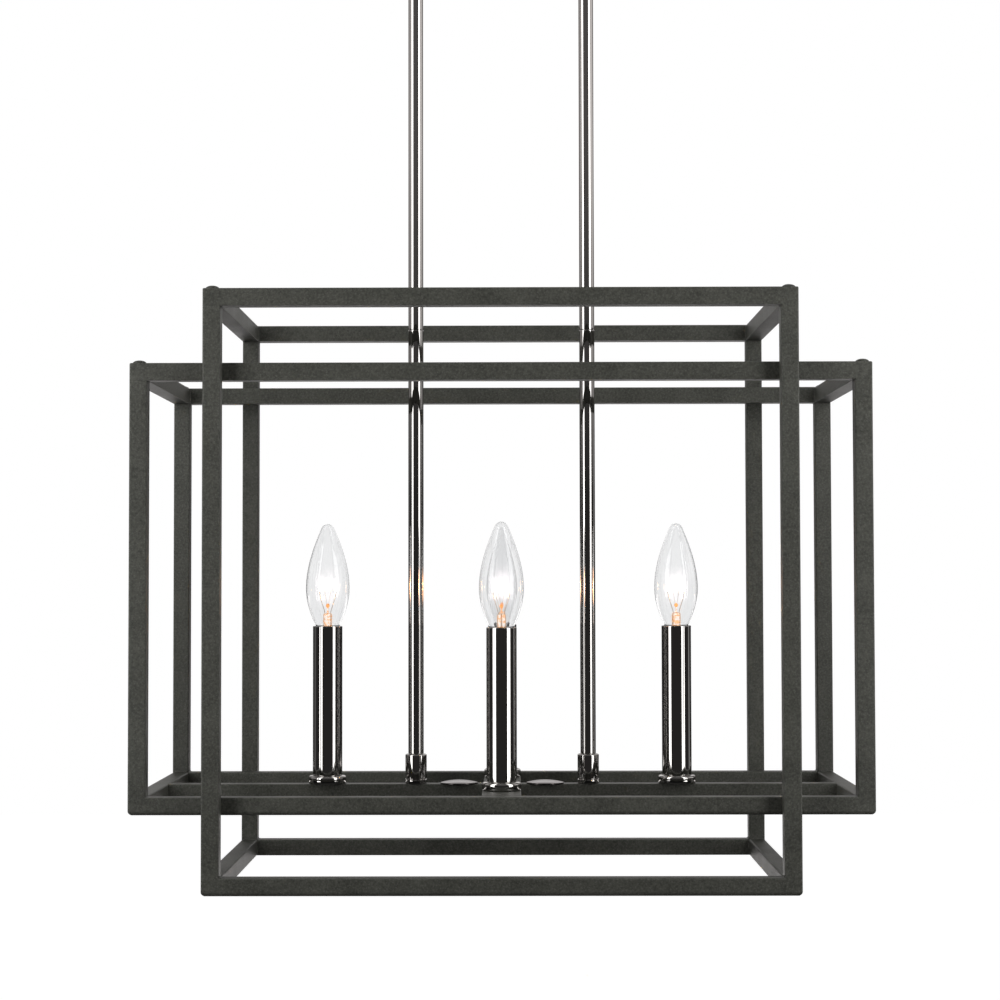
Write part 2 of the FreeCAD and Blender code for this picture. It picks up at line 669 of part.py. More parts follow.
def glass_outline(wall):
    """Edges of the torpedo from the neck's foot to the tip, taken in by a wall thickness."""
    shoulder_z = SLEEVE_TOP_Z + GLASS_HEIGHT - GLASS_TIP_LENGTH
    tip_z = SLEEVE_TOP_Z + GLASS_HEIGHT - wall
    foot = (GLASS_FOOT_R - wall, BASE_TOP_Z)
    neck = (GLASS_NECK_D / 2 - wall, SLEEVE_TOP_Z)
    belly = (GLASS_D / 2 - wall, SLEEVE_TOP_Z + GLASS_BELLY)
    shoulder = (GLASS_SHOULDER_D / 2 - wall, shoulder_z)
    tip_pull = (tip_z - shoulder_z) / 2
    straight = outline([(foot[0], GLASS_FOOT_Z), foot], False)
    return straight + [
        swell(foot, 0, neck, GLASS_NECK_SLOPE),
        swell(neck, GLASS_NECK_SLOPE, belly, 0),
        swell(belly, 0, shoulder, GLASS_SHOULDER_SLOPE),
        bezier([shoulder, (shoulder[0] + GLASS_SHOULDER_SLOPE * tip_pull, shoulder_z + tip_pull),
                (GLASS_TIP_FLAT_D / 2 - wall, tip_z), (0, tip_z)]),
    ]


def bulb_glass():
    """Thin torpedo envelope, open at the foot of its neck and closed at its tip."""
    outer = glass_outline(0)
    inner = glass_outline(GLASS_WALL)
    foot_join = Part.makeLine(outer[0].Vertexes[0].Point, inner[0].Vertexes[0].Point)
    tip_join = Part.makeLine(outer[-1].Vertexes[-1].Point, inner[-1].Vertexes[-1].Point)
    return turned(outer + inner + [foot_join, tip_join])


def bulb_mount():
    """Glass stem with its flare and pinch, bead on a rod, two leads and the arched filament."""
    foot_r = GLASS_FOOT_R - GLASS_WALL - SOCKET_FIT
    foot_z = GLASS_FOOT_Z + SOCKET_FIT
    stem_r = MOUNT_D / 2
    flare_z = BASE_TOP_Z + MOUNT_FLARE_HEIGHT
    pinch_z = BASE_TOP_Z + MOUNT_HEIGHT
    edges = outline([(foot_r, BASE_TOP_Z), (foot_r, foot_z), (0, foot_z), (0, pinch_z), (stem_r, pinch_z),
                     (stem_r, flare_z)], False)
    edges.append(bezier([(foot_r, BASE_TOP_Z), (stem_r, BASE_TOP_Z), (stem_r, flare_z)]))
    stem = turned(edges)
    bead_z = pinch_z + BEAD_RISE
    pieces = [rod(BEAD_ROD_D, pinch_z - BEAD_ROD_D, bead_z), rod(BEAD_D, bead_z, bead_z + BEAD_HEIGHT)]
    arch_r = LEAD_SPREAD / 2
    arch_z = SLEEVE_TOP_Z + FILAMENT_Z
    for sign in SIDES.values():
        foot = Vector(sign * LEAD_FOOT_SPREAD / 2, 0, pinch_z - LEAD_D)
        tip = Vector(sign * arch_r, 0, arch_z)
        pieces.append(Part.makeCylinder(LEAD_D / 2, foot.distanceToPoint(tip), foot, tip - foot))
        pieces.append(Part.makeSphere(FILAMENT_D / 2, tip))
    ring = Part.Face(Part.Wire(Part.makeCircle(FILAMENT_D / 2, Vector(-arch_r, 0, arch_z), Vector(0, 0, 1))))
    pieces.append(ring.revolve(Vector(0, 0, arch_z), Vector(0, 1, 0), 180))
    return stem.fuse(pieces)


def make_candles():
    """Four candles, each with its own lampholder, ring, sleeve and bulb."""
    sleeve = pipe(SLEEVE_D, SLEEVE_D - 2 * SLEEVE_WALL, SLEEVE_FOOT_Z, SLEEVE_TOP_Z)
    ring = moved(base_ring(), 0, 0, DECK_Z)
    shapes = {
        "base_ring": ring,
        "lampholder": lampholder(),
        "sleeve": sleeve,
        "bulb_base": bulb_base(),
        "bulb_glass": bulb_glass(),
        "bulb_mount": bulb_mount(),
    }
    groups = {
        "candle_threads": pipe(THREAD_D, THREAD_BORE, THREAD_END_Z, BOSS_TOP_Z),
        "candle_nuts": hex_nut(BAR_UNDER_Z - NUT_HEIGHT),
        "screw_shells": screw_shell(),
        "centre_contacts": centre_contact(),
    }
    for name, shape in shapes.items():
        for place, (x, y) in CANDLES.items():
            export(name + "_" + place, [moved(shape, x, y)])
    for name, shape in groups.items():
        export(name, [moved(shape, x, y) for x, y in CANDLES.values()])
    terminals = []
    for x, y in CANDLES.values():
        for screw in (terminal_screw(), turned_half(terminal_screw())):
            terminals.append(moved(screw, x, y))
    export("terminal_screws", terminals)


def main():
    os.makedirs("parts", exist_ok=True)
    make_ceiling_mount()
    make_stems()
    make_frames()
    make_deck()
    make_candles()


main()
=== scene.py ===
"""Looks of the linear island pendant: coated box frames, polished stems and sleeves, lit torpedo bulbs.

Metres, in the frame of the construction model: +Z up, the origin on the ceiling, -Y to the front.
"""

import math

import bpy
from mathutils import Matrix, Vector


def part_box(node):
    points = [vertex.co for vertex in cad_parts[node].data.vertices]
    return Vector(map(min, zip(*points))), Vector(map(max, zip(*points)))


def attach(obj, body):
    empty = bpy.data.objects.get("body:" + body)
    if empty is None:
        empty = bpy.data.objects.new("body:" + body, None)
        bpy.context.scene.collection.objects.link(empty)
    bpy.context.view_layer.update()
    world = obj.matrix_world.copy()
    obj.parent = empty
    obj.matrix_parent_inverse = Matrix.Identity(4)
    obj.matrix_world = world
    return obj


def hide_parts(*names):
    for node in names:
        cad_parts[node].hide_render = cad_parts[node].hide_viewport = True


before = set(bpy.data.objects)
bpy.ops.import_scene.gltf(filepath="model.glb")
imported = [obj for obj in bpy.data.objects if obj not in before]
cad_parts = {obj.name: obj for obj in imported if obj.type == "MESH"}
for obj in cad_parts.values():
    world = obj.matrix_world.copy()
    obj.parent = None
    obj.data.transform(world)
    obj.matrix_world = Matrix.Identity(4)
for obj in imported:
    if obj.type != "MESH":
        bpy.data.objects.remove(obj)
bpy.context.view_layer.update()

MM = 0.001
TOUCH = 1e-6
FIXTURE = "fixture"
CEILING = "ceiling_mount"
PLACES = ("left", "right", "front", "back")
SIDES = ("left", "right")
ROUND_SEGMENTS = 64

# Sizes of finish details that the construction leaves open
TUBE_EDGE = 0.9 * MM
SEAM_EDGE = 0.15 * MM
GROUND_CORNER = 3.0 * MM
THREAD_RADIUS = 3.9 * MM
THREAD_PITCH = 1.0 * MM
THREAD_DEPTH = 0.45 * MM
THREAD_HOLE = 4.1 * MM
WIRE_BORE = 2.5 * MM
BASE_PITCH = 2.54 * MM
BASE_THREAD_DEPTH = 0.5 * MM
GLASS_WALL = 0.7 * MM


# ---------------- modelling by hand


def start_fresh():
    """Leave edit mode and select nothing."""
    if bpy.context.object and bpy.context.object.mode != "OBJECT":
        bpy.ops.object.mode_set(mode="OBJECT")
    bpy.ops.object.select_all(action="DESELECT")


def select_only(*pieces):
    """Select some pieces, with the first as the active one."""
    start_fresh()
    for piece in pieces:
        piece.select_set(True)
    bpy.context.view_layer.objects.active = pieces[0]


def settle(piece):
    """Move a piece's place into its mesh."""
    select_only(piece)
    bpy.ops.object.transform_apply(location=True, rotation=True, scale=True)


def start_piece(primitive, **settings):
    """Begin a piece with a primitive."""
    start_fresh()
    primitive(**settings)
    piece = bpy.context.object
    settle(piece)
    return piece


def pick(piece, kind, wanted):
    """Select vertices, edges or faces of the edited piece for which a test holds."""
    bpy.ops.object.mode_set(mode="EDIT")
    bpy.ops.mesh.select_mode(type={"vertices": "VERT", "edges": "EDGE", "polygons": "FACE"}[kind])
    bpy.ops.mesh.select_all(action="DESELECT")
    bpy.ops.object.mode_set(mode="OBJECT")
    mesh = piece.data
    for item in getattr(mesh, kind):
        item.select = bool(wanted(mesh, item))
    bpy.ops.object.mode_set(mode="EDIT")


def edge_ends(mesh, edge):
    return [mesh.vertices[i].co for i in edge.vertices]


def rename(piece, name):
    """Name a piece and its mesh."""
    piece.name = name
    piece.data.name = name
    return piece


def shade(piece, angle):
    """Shade smooth, apart from edges sharper than an angle in degrees."""
    select_only(piece)
    bpy.ops.object.shade_smooth_by_angle(angle=math.radians(angle))


def finish_mesh(piece, name, smooth_angle=40):
    """Merge doubles, turn all faces outwards, and shade smooth up to an angle."""
    bpy.ops.object.mode_set(mode="EDIT")
    bpy.ops.mesh.select_all(action="SELECT")
    bpy.ops.mesh.remove_doubles(threshold=TOUCH)
    bpy.ops.mesh.normals_make_consistent(inside=False)
    bpy.ops.object.mode_set(mode="OBJECT")
    shade(rename(piece, name), smooth_angle)
    return piece


def apply_modifier(piece, kind, **settings):
    """Add a modifier with its settings and apply it."""
    select_only(piece)
    modifier = piece.modifiers.new(kind.lower(), kind)
    for key, value in settings.items():
        setattr(modifier, key, value)
    bpy.ops.object.modifier_apply(modifier=modifier.name)


def carve(piece, tool, operation="DIFFERENCE"):
    """Cut a piece with another one, which is used up."""
    apply_modifier(piece, "BOOLEAN", operation=operation, object=tool, solver="EXACT")
    bpy.data.objects.remove(tool)


def turn(name, profile, centre=(0, 0), segments=ROUND_SEGMENTS, closed=False, smooth_angle=40):
    """Turn a profile of (radius, height) rings: a circle that is extruded and resized ring by ring.

    A radius of 0 at either end closes to a pole. A closed profile joins its last ring to its first.
    """
    rings = list(profile)
    pole = rings.pop(0) if rings[0][0] == 0 else None
    radius, height = rings[0]
    piece = start_piece(bpy.ops.mesh.primitive_circle_add, vertices=segments, radius=radius,
                        location=(0, 0, height))
    bpy.ops.object.mode_set(mode="EDIT")
    bpy.ops.mesh.select_all(action="SELECT")
    for next_radius, next_height in rings[1:] + ([rings[0]] if closed else []):
        bpy.ops.mesh.extrude_edges_move(TRANSFORM_OT_translate={"value": (0, 0, next_height - height)})
        if next_radius == 0:
            bpy.ops.mesh.merge(type="CENTER")
            break
        ratio = next_radius / radius
        if ratio != 1:
            bpy.ops.transform.resize(value=(ratio, ratio, 1), center_override=(0, 0, next_height))
        radius, height = next_radius, next_height
    if pole:
        first_radius, first_height = rings[0]

        def on_first_ring(mesh, edge):
            return all(abs(co.z - first_height) < TOUCH and abs(co.xy.length - first_radius) < TOUCH
                       for co in edge_ends(mesh, edge))

        pick(piece, "edges", on_first_ring)
        drop = pole[1] - first_height
        bpy.ops.mesh.extrude_edges_move(TRANSFORM_OT_translate={"value": (0, 0, drop)})
        bpy.ops.mesh.merge(type="CENTER")
    bpy.ops.mesh.select_all(action="SELECT")
    bpy.ops.transform.translate(value=(centre[0], centre[1], 0))
    return finish_mesh(piece, name, smooth_angle)


def arc(centre_radius, centre_height, radius, start, end, steps=6):
    """Points of a circular stretch of a profile, with angles in degrees from straight outwards."""
    points = []
    for i in range(steps + 1):
        a = math.radians(start + (end - start) * i / steps)
        points.append((centre_radius + radius * math.cos(a), centre_height + radius * math.sin(a)))
    return points


def eased_foot(radius, foot, edge, steps=4):
    """Rounded lower corner of a profile."""
    return arc(radius - edge, foot + edge, edge, -90, 0, steps)


def eased_top(radius, top, edge, steps=4):
    """Rounded upper corner of a profile."""
    return arc(radius - edge, top - edge, edge, 0, 90, steps)


def ring_groove(radius, low, high, depth, slope):
    """Groove round a profile, with slanted flanks."""
    return [(radius, low), (radius - depth, low + slope), (radius - depth, high - slope), (radius, high)]


def curve(a, b, c, d, steps):
    """Points of a cubic Bezier stretch of a profile."""
    points = []
    for i in range(steps + 1):
        t = i / steps
        s = 1 - t
        points.append(tuple(s ** 3 * a[k] + 3 * s * s * t * b[k] + 3 * s * t * t * c[k] + t ** 3 * d[k]
                            for k in (0, 1)))
    return points


def copy_to(piece, name, offset):
    """A copy with its own mesh, moved."""
    select_only(piece)
    bpy.ops.object.duplicate(linked=False)
    twin = bpy.context.object
    twin.location = offset
    settle(twin)
    return rename(twin, name)


def join(name, pieces):
    """One piece out of several separate ones."""
    select_only(*pieces)
    bpy.ops.object.join()
    return rename(bpy.context.object, name)


def repeat(pattern, name, places):
    """One piece out of copies of a pattern, which is used up."""
    copies = [copy_to(pattern, name, place) for place in places]
    bpy.data.objects.remove(pattern)
    return join(name, copies)


def dress(piece, body, slot, material, *nodes):
    """Give a piece its body and material, and the construction nodes that it stands for. The slot is not
    used.
    """
    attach(piece, body)
    piece.data.materials.clear()
    piece.data.materials.append(material)
    if nodes:
        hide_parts(*nodes)


def middle(node):
    """Centre in plan of a construction node."""
    low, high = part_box(node)
    return (low.x + high.x) / 2, (low.y + high.y) / 2


def round_box(node):
    """Heights of foot and top, and the radius, of an upright round construction node."""
    low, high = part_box(node)
    return low.z, high.z, (high.x - low.x) / 2


# ---------------- shader groups and materials


class Nodes:
    """Short ways to add nodes to one tree. A value is a constant or the output of another node."""

    def __init__(self, tree):
        self.tree = tree

    def feed(self, node, values):
        """Set or link inputs of a node."""
        for key, value in values.items():
            if isinstance(value, bpy.types.NodeSocket):
                self.tree.links.new(value, node.inputs[key])
            else:
                node.inputs[key].default_value = value

    def add(self, kind, values=None, **settings):
        """New node, with its settings made before its values."""
        node = self.tree.nodes.new(kind)
        for key, value in settings.items():
            setattr(node, key, value)
        self.feed(node, values or {})
        return node

    def place(self):
        """Object coordinates."""
        return self.add("ShaderNodeTexCoord").outputs["Object"]

    def axes(self, vector):
        """X, Y and Z of a vector."""
        return self.add("ShaderNodeSeparateXYZ", {"Vector": vector}).outputs

    def math(self, operation, first, second):
        """Result of an operation on two values."""
        return self.add("ShaderNodeMath", {0: first, 1: second}, operation=operation).outputs[0]

    def span(self, value, start, end, low=0.0, high=1.0, smooth=False):
        """Value that goes from low to high while another goes from start to end."""
        bounds = {"Value": value, "From Min": start, "From Max": end, "To Min": low, "To Max": high}
        kind = "SMOOTHSTEP" if smooth else "LINEAR"
        return self.add("ShaderNodeMapRange", bounds, interpolation_type=kind).outputs["Result"]

    def mix(self, kind, factor, first, second):
        """Blend of two values, or of two colours."""
        values = {"Factor": factor, "A": first, "B": second}
        return self.add("ShaderNodeMix", values, data_type=kind).outputs["Result"]

    def noise(self, place, scale, detail, roughness=0.5, distortion=0.0):
        """Fractal noise."""
        values = {"Vector": place, "Scale": scale, "Detail": detail, "Roughness": roughness,
                  "Distortion": distortion}
        return self.add("ShaderNodeTexNoise", values).outputs["Fac"]

    def relief(self, height, strength, distance):
        """Normal of a height."""
        values = {"Height": height, "Strength": strength, "Distance": distance}
        return self.add("ShaderNodeBump", values).outputs["Normal"]

    def join_shaders(self, first, second):
        """Sum of two shaders."""
        return self.add("ShaderNodeAddShader", {0: first, 1: second}).outputs[0]

    def split_rays(self, for_eye, for_gloss, for_light):
        """One shader for the eye and through glass, one for reflections and one for all other light."""
        path = self.add("ShaderNodeLightPath").outputs
        seen = self.math("MAXIMUM", path["Is Camera Ray"], path["Is Transmission Ray"])
        unseen = self.add("ShaderNodeMixShader", {0: path["Is Glossy Ray"], 1: for_light, 2: for_gloss})
        return self.add("ShaderNodeMixShader", {0: seen, 1: unseen.outputs[0], 2: for_eye}).outputs[0]


def new_group(name, inputs, outputs):
    """Shader group with named inputs and outputs."""
    tree = bpy.data.node_groups.new(name, "ShaderNodeTree")
    for label, value in inputs.items():
        socket = tree.interface.new_socket(label, in_out="INPUT", socket_type="NodeSocketFloat")
        socket.default_value = value
    for label in outputs:
        tree.interface.new_socket(label, in_out="OUTPUT", socket_type="NodeSocketFloat")
    n = Nodes(tree)
    return n, n.add("NodeGroupInput").outputs, n.add("NodeGroupOutput")


def make_grain_group():
    """Sprayed grain: a mottle, a fine height and scattered flecks."""
    n, given, end = new_group("sprayed_grain", {"Grain": 900.0, "Mottle": 60.0},
                              ("Grain", "Mottle", "Flecks"))
    place = n.place()
    cells = n.add("ShaderNodeTexVoronoi", {"Vector": place, "Scale": given["Grain"], "Randomness": 1.0})
    n.feed(end, {"Grain": n.noise(place, given["Grain"], 3.0, 0.6),
                 "Mottle": n.noise(place, given["Mottle"], 2.0),
                 "Flecks": n.span(cells.outputs["Distance"], 0.16, 0.42, 1.0, 0.0)})
    return n.tree


def make_handling_group():
    """Handling: faint smears and fine polishing marks on bright metal."""
    n, given, end = new_group("handling", {"Smears": 40.0, "Marks": 700.0, "Low": 0.05, "High": 0.12},
                              ("Roughness", "Marks"))
    place = n.place()
    smears = n.noise(place, given["Smears"], 4.0, 0.6, 0.4)
    n.feed(end, {"Roughness": n.span(smears, 0.35, 0.7, given["Low"], given["High"]),
                 "Marks": n.noise(place, given["Marks"], 2.0, 0.7)})
    return n.tree


GRAIN = make_grain_group()
HANDLING = make_handling_group()
GRAIN_HEIGHT = 0.15 * MM
MARK_HEIGHT = 0.05 * MM
GRAIN_SHARE = 0.25
FLECK_SHARE = 0.22


def new_material(name, **principled):
    """Material with a Principled shader whose constants are set on its own sockets."""
    material = bpy.data.materials.new(name)
    material.use_nodes = True
    shader = material.node_tree.nodes["Principled BSDF"]
    for label, value in principled.items():
        shader.inputs[label.replace("_", " ")].default_value = value
    return material, Nodes(material.node_tree), shader


def grained(name, dark, light, roughness, bump, grain, mottle, fleck=None, **principled):
    """Sprayed or moulded finish: two tones by grain and mottle, a fine bump, and flecks in the spray."""
    material, n, shader = new_material(name, **principled)
    spray = n.add("ShaderNodeGroup", {"Grain": grain, "Mottle": mottle}, node_tree=GRAIN).outputs
    tone = n.mix("FLOAT", GRAIN_SHARE, spray["Grain"], spray["Mottle"])
    colour = n.mix("RGBA", n.span(tone, 0.3, 0.7), (*dark, 1), (*light, 1))
    if fleck:
        colour = n.mix("RGBA", n.math("MULTIPLY", spray["Flecks"], FLECK_SHARE), colour, (*fleck, 1))
    n.feed(shader, {"Base Color": colour, "Roughness": n.span(spray["Mottle"], 0.0, 1.0, *roughness),
                    "Normal": n.relief(spray["Grain"], bump, GRAIN_HEIGHT)})
    return material


def handle(n, shader, smears, marks, low, high, bump):
    """Give a bright surface the roughness and relief of handling. Gives back its marks."""
    values = {"Smears": smears, "Marks": marks, "Low": low, "High": high}
    handling = n.add("ShaderNodeGroup", values, node_tree=HANDLING).outputs
    n.feed(shader, {"Roughness": handling["Roughness"],
                    "Normal": n.relief(handling["Marks"], bump, MARK_HEIGHT)})
    return handling["Marks"]


def polished(name, colour, low, high, smears=40.0, marks=700.0, bump=0.02):
    """Bright metal with faint handling."""
    material, n, shader = new_material(name, Base_Color=(*colour, 1), Metallic=1.0)
    handle(n, shader, smears, marks, low, high, bump)
    return material


def make_filament():
    """White-hot coil, a little cooler in some stretches."""
    material, n, shader = new_material("filament_glow", Base_Color=(0.9, 0.6, 0.3, 1), Roughness=0.5,
                                       Emission_Strength=700.0)
    heat = n.add("ShaderNodeValToRGB", {"Fac": n.noise(n.place(), 400.0, 1.0)})
    cool, hot = heat.color_ramp.elements
    cool.color = (1.0, 0.62, 0.26, 1)
    hot.color = (1.0, 0.80, 0.50, 1)
    n.feed(shader, {"Emission Color": heat.outputs["Color"]})
    return material


def make_glass_with_painted_glow(name, tint, rough, marks, glow, glow_low, glow_high, soft, facing_edge, patchy, strength,
                   painted_streak=None, flare=None):
    """Blown glass with a painted glow: emission between two heights, where the glass faces the eye, for the
    coil's light.

    A painted streak colour runs through the glass where light and leads are seen folded in it. A flare is a
    painted reflection: the warm colour and the gain of the glow in polished metal, for the coil's full
    strength.
    """
    material, n, shader = new_material(name, Base_Color=(*tint, 1), Transmission_Weight=1.0, IOR=1.47,
                                       Emission_Strength=1.0)
    folds = handle(n, shader, 60.0, marks, 0.0, rough, 0.03)
    # Painted reflection: a streak colour in a narrow band of the folds noise, for light and leads seen in
    # the glass.
    if painted_streak:
        n.feed(shader, {"Base Color": n.mix("RGBA", n.span(folds, 0.53, 0.59), (*tint, 1), (*painted_streak, 1))})
    # Painted glow: emission masked by height, by facing the eye and by patches, for the coil's light on the
    # glass.
    height = n.axes(n.place())["Z"]
    rise = n.span(height, glow_low - soft, glow_low + soft, smooth=True)
    fall = n.span(height, glow_high - soft, glow_high + soft, 1.0, 0.0, smooth=True)
    slant = n.add("ShaderNodeLayerWeight", {"Blend": 0.5}).outputs["Facing"]
    facing = n.span(slant, facing_edge / 3, facing_edge, 1.0, 0.0, smooth=True)
    mask = n.math("MULTIPLY", n.math("MULTIPLY", rise, fall), facing)
    patches = n.span(folds, 0.35, 0.65, strength * (1 - patchy), strength * (1 + patchy))
    amount = n.math("MULTIPLY", mask, patches)
    colour = glow
    # Painted reflection: in reflections off metal the painted glow turns warm and much stronger.
    if flare:
        warm, gain = flare
        path = n.add("ShaderNodeLightPath").outputs
        outside = n.math("LESS_THAN", path["Transmission Depth"], 0.5)
        in_metal = n.math("MULTIPLY", path["Is Glossy Ray"], outside)
        amount = n.math("MULTIPLY", amount, n.span(in_metal, 0.0, 1.0, 1.0, gain))
        colour = n.mix("RGBA", in_metal, (*glow, 1), (*warm, 1))
    light = n.add("ShaderNodeVectorMath", {"Vector": colour, "Scale": amount}, operation="SCALE")
    n.feed(shader, {"Emission Color": light.outputs["Vector"]})
    return material


SLEEVE_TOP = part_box("sleeve_left")[1].z
COAT = grained("frame_coat", (0.027, 0.0275, 0.0225), (0.082, 0.083, 0.069), (0.45, 0.60), 0.55, 640.0, 45.0,
               fleck=(0.16, 0.16, 0.15), Specular_IOR_Level=0.4)
PHENOLIC = grained("phenolic", (0.012, 0.012, 0.012), (0.03, 0.03, 0.029), (0.32, 0.5), 0.12, 500.0, 80.0)
VITRITE = grained("base_insulator", (0.008, 0.008, 0.01), (0.02, 0.02, 0.022), (0.12, 0.22), 0.05, 300.0,
                  80.0)
NICKEL = polished("black_nickel", (0.46, 0.445, 0.43), 0.02, 0.05)
# Painted shade: a darker copy of the black nickel, so the wiring caps read dark.
CAP_NICKEL_PAINTED_DARK = polished("black_nickel_cap_painted_dark", (0.10, 0.09, 0.088), 0.05, 0.14)
ZINC = polished("zinc_plate", (0.58, 0.58, 0.55), 0.28, 0.45, smears=90.0, bump=0.15)
BASE_METAL = polished("bulb_base_metal", (0.66, 0.64, 0.60), 0.16, 0.28, smears=120.0, bump=0.05)
BRASS = polished("brass_contacts", (0.72, 0.52, 0.22), 0.22, 0.38, smears=110.0, bump=0.08)
GREEN = polished("green_screw", (0.05, 0.30, 0.10), 0.25, 0.4, smears=100.0, bump=0.08)
LEAD_WIRE = polished("lead_wire", (0.55, 0.45, 0.36), 0.2, 0.35, smears=200.0)
# Painted glow on the envelope, with a warm painted reflection of it in polished metal.
GLASS = make_glass_with_painted_glow(
    "clear_glass", (0.93, 0.932, 0.935), rough=0.01, marks=150.0, glow=(1.0, 0.87, 0.90),
    glow_low=SLEEVE_TOP + 20 * MM, glow_high=SLEEVE_TOP + 36 * MM, soft=9 * MM, facing_edge=0.12,
    patchy=0.9, strength=0.085, flare=((1.0, 0.46, 0.19), 160.0))
# Painted orange glow and painted orange streak on the glass stem of the mount.
MOUNT_GLASS = make_glass_with_painted_glow(
    "mount_glass", (1.0, 0.95, 0.92), rough=0.05, marks=420.0, glow=(1.0, 0.50, 0.18),
    glow_low=SLEEVE_TOP - 9 * MM, glow_high=SLEEVE_TOP + 20 * MM, soft=6 * MM, facing_edge=1.2,
    patchy=0.9, strength=0.18, painted_streak=(0.60, 0.22, 0.07))
# Painted light on the bead: orange tint and orange glow for the coil's light.
BEAD_GLASS = make_glass_with_painted_glow(
    "bead_glass", (0.80, 0.36, 0.10), rough=0.1, marks=600.0, glow=(0.80, 0.26, 0.05),
    glow_low=SLEEVE_TOP, glow_high=SLEEVE_TOP + 30 * MM, soft=6 * MM, facing_edge=1.2,
    patchy=0.5, strength=0.35)
FILAMENT = make_filament()


# ---------------- welded frames


def tube_ring(width, depth, low, high):
    """Flat rectangle of square tube, as one welded ring that is left open for editing."""
    side = high - low
    ring = start_piece(bpy.ops.mesh.primitive_cube_add, size=1, location=(0, 0, (low + high) / 2),
                       scale=(width, depth, side))
    pick(ring, "polygons", lambda mesh, face: abs(face.normal.z) > 0.9)
    bpy.ops.mesh.inset(thickness=side, use_even_offset=True)
    bpy.ops.mesh.bridge_edge_loops()
    return ring


def weight_edges(piece, seam_height):
    """Weights for rounding: full on sharp edges, a little along the seam, none within a plane."""
    mesh = piece.data
    attribute = mesh.attributes.new("bevel_weight_edge", "FLOAT", "EDGE")
    faces_at = {}
    for face in mesh.polygons:
        for key in face.edge_keys:
            faces_at.setdefault(key, []).append(face.normal)
    for edge in mesh.edges:
        normals = faces_at.get(tuple(sorted(edge.vertices)), [])
        flat = len(normals) == 2 and normals[0].dot(normals[1]) > 0.8
        on_seam = all(abs(co.z - seam_height) < TOUCH for co in edge_ends(mesh, edge))
        weight = SEAM_EDGE / TUBE_EDGE if on_seam else 1.0
        attribute.data[edge.index].value = 0.0 if flat or len(normals) < 2 else weight


def dress_frame(piece, node, seam_height):
    """Round the edges of a welded frame, give its flats clean shading, and coat it."""
    finish_mesh(piece, node + "_welded")
    weight_edges(piece, seam_height)
    apply_modifier(piece, "BEVEL", limit_method="WEIGHT", width=TUBE_EDGE, segments=3,
                   use_clamp_overlap=True)
    shade(piece, 50)
    apply_modifier(piece, "WEIGHTED_NORMAL", keep_sharp=True, weight=80)
    dress(piece, FIXTURE, "frame_coat", COAT, node)


def make_top_frame(kind):
    """Rectangle that is screwed down on the posts."""
    node = kind + "_top_frame"
    low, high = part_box(node)
    dress_frame(tube_ring(high.x - low.x, high.y - low.y, low.z, high.z), node, low.z)


def make_lower_frame(kind):
    """Bottom rectangle with the four posts drawn up out of its corners."""
    node = kind + "_lower_frame"
    low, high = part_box(node)
    top_low, top_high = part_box(kind + "_top_frame")
    side = top_high.z - top_low.z
    deck = low.z + side
    ring = tube_ring(high.x - low.x, high.y - low.y, low.z, deck)
    inner_x = high.x - side
    inner_y = high.y - side
    for place, across in (((inner_x, 0, 0), (1, 0, 0)), ((0, inner_y, 0), (0, 1, 0))):
        for sign in (1, -1):
            bpy.ops.mesh.select_all(action="SELECT")
            bpy.ops.mesh.bisect(plane_co=sign * Vector(place), plane_no=across)

    def corner_top(mesh, face):
        c = face.center
        return face.normal.z > 0.9 and abs(c.x) > inner_x and abs(c.y) > inner_y

    def ground_corner(mesh, edge):
        return all(abs(co.z - low.z) < TOUCH and abs(abs(co.x) - high.x) < TOUCH
                   for co in edge_ends(mesh, edge))

    pick(ring, "polygons", corner_top)
    bpy.ops.mesh.extrude_region_move(TRANSFORM_OT_translate={"value": (0, 0, high.z - deck)})
    bpy.ops.mesh.select_all(action="SELECT")
    bpy.ops.mesh.remove_doubles(threshold=TOUCH)
    bpy.ops.mesh.dissolve_limited(angle_limit=math.radians(1))
    pick(ring, "edges", ground_corner)
    bpy.ops.mesh.bevel(offset=GROUND_CORNER, offset_type="OFFSET", segments=6, affect="EDGES")
    dress_frame(ring, node, high.z)


def make_corner_screws():
    """Eight low domed screw heads, each with a hexagon socket."""
    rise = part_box("corner_screws")[1].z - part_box("tall_top_frame")[1].z
    head_radius = 4.6 * MM
    rim = 0.6 * MM
    shank_radius = 2.0 * MM
    shank = 20 * MM
    key_end = 0.3 * MM
    dome = curve((head_radius, rim), (0.83 * head_radius, 0.75 * rise), (0.45 * head_radius, rise),
                 (0, rise), 12)
    profile = [(0, -shank), (shank_radius, -shank), (shank_radius, 0), (head_radius, 0)] + dome
    head = turn("screw_head", profile, segments=32)
    key = start_piece(bpy.ops.mesh.primitive_cylinder_add, vertices=6, radius=1.5 * MM, depth=2.2 * MM,
                      location=(0, 0, rise))
    pick(key, "polygons", lambda mesh, face: face.normal.z < -0.9)
    bpy.ops.mesh.inset(thickness=key_end)
    bpy.ops.transform.translate(value=(0, 0, -key_end))
    carve(head, key)
    shade(head, 35)
    corners = []
    for kind in ("tall", "wide"):
        low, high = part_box(kind + "_top_frame")
        half = (high.z - low.z) / 2
        for x in (low.x + half, high.x - half):
            corners += [(x, y, high.z) for y in (low.y + half, high.y - half)]
    dress(repeat(head, "corner_screws_socketed", corners), FIXTURE, "frame_coat", COAT, "corner_screws")


for frame_kind in ("tall", "wide"):
    make_top_frame(frame_kind)
    make_lower_frame(frame_kind)
make_corner_screws()


# ---------------- stems, swivels and caps


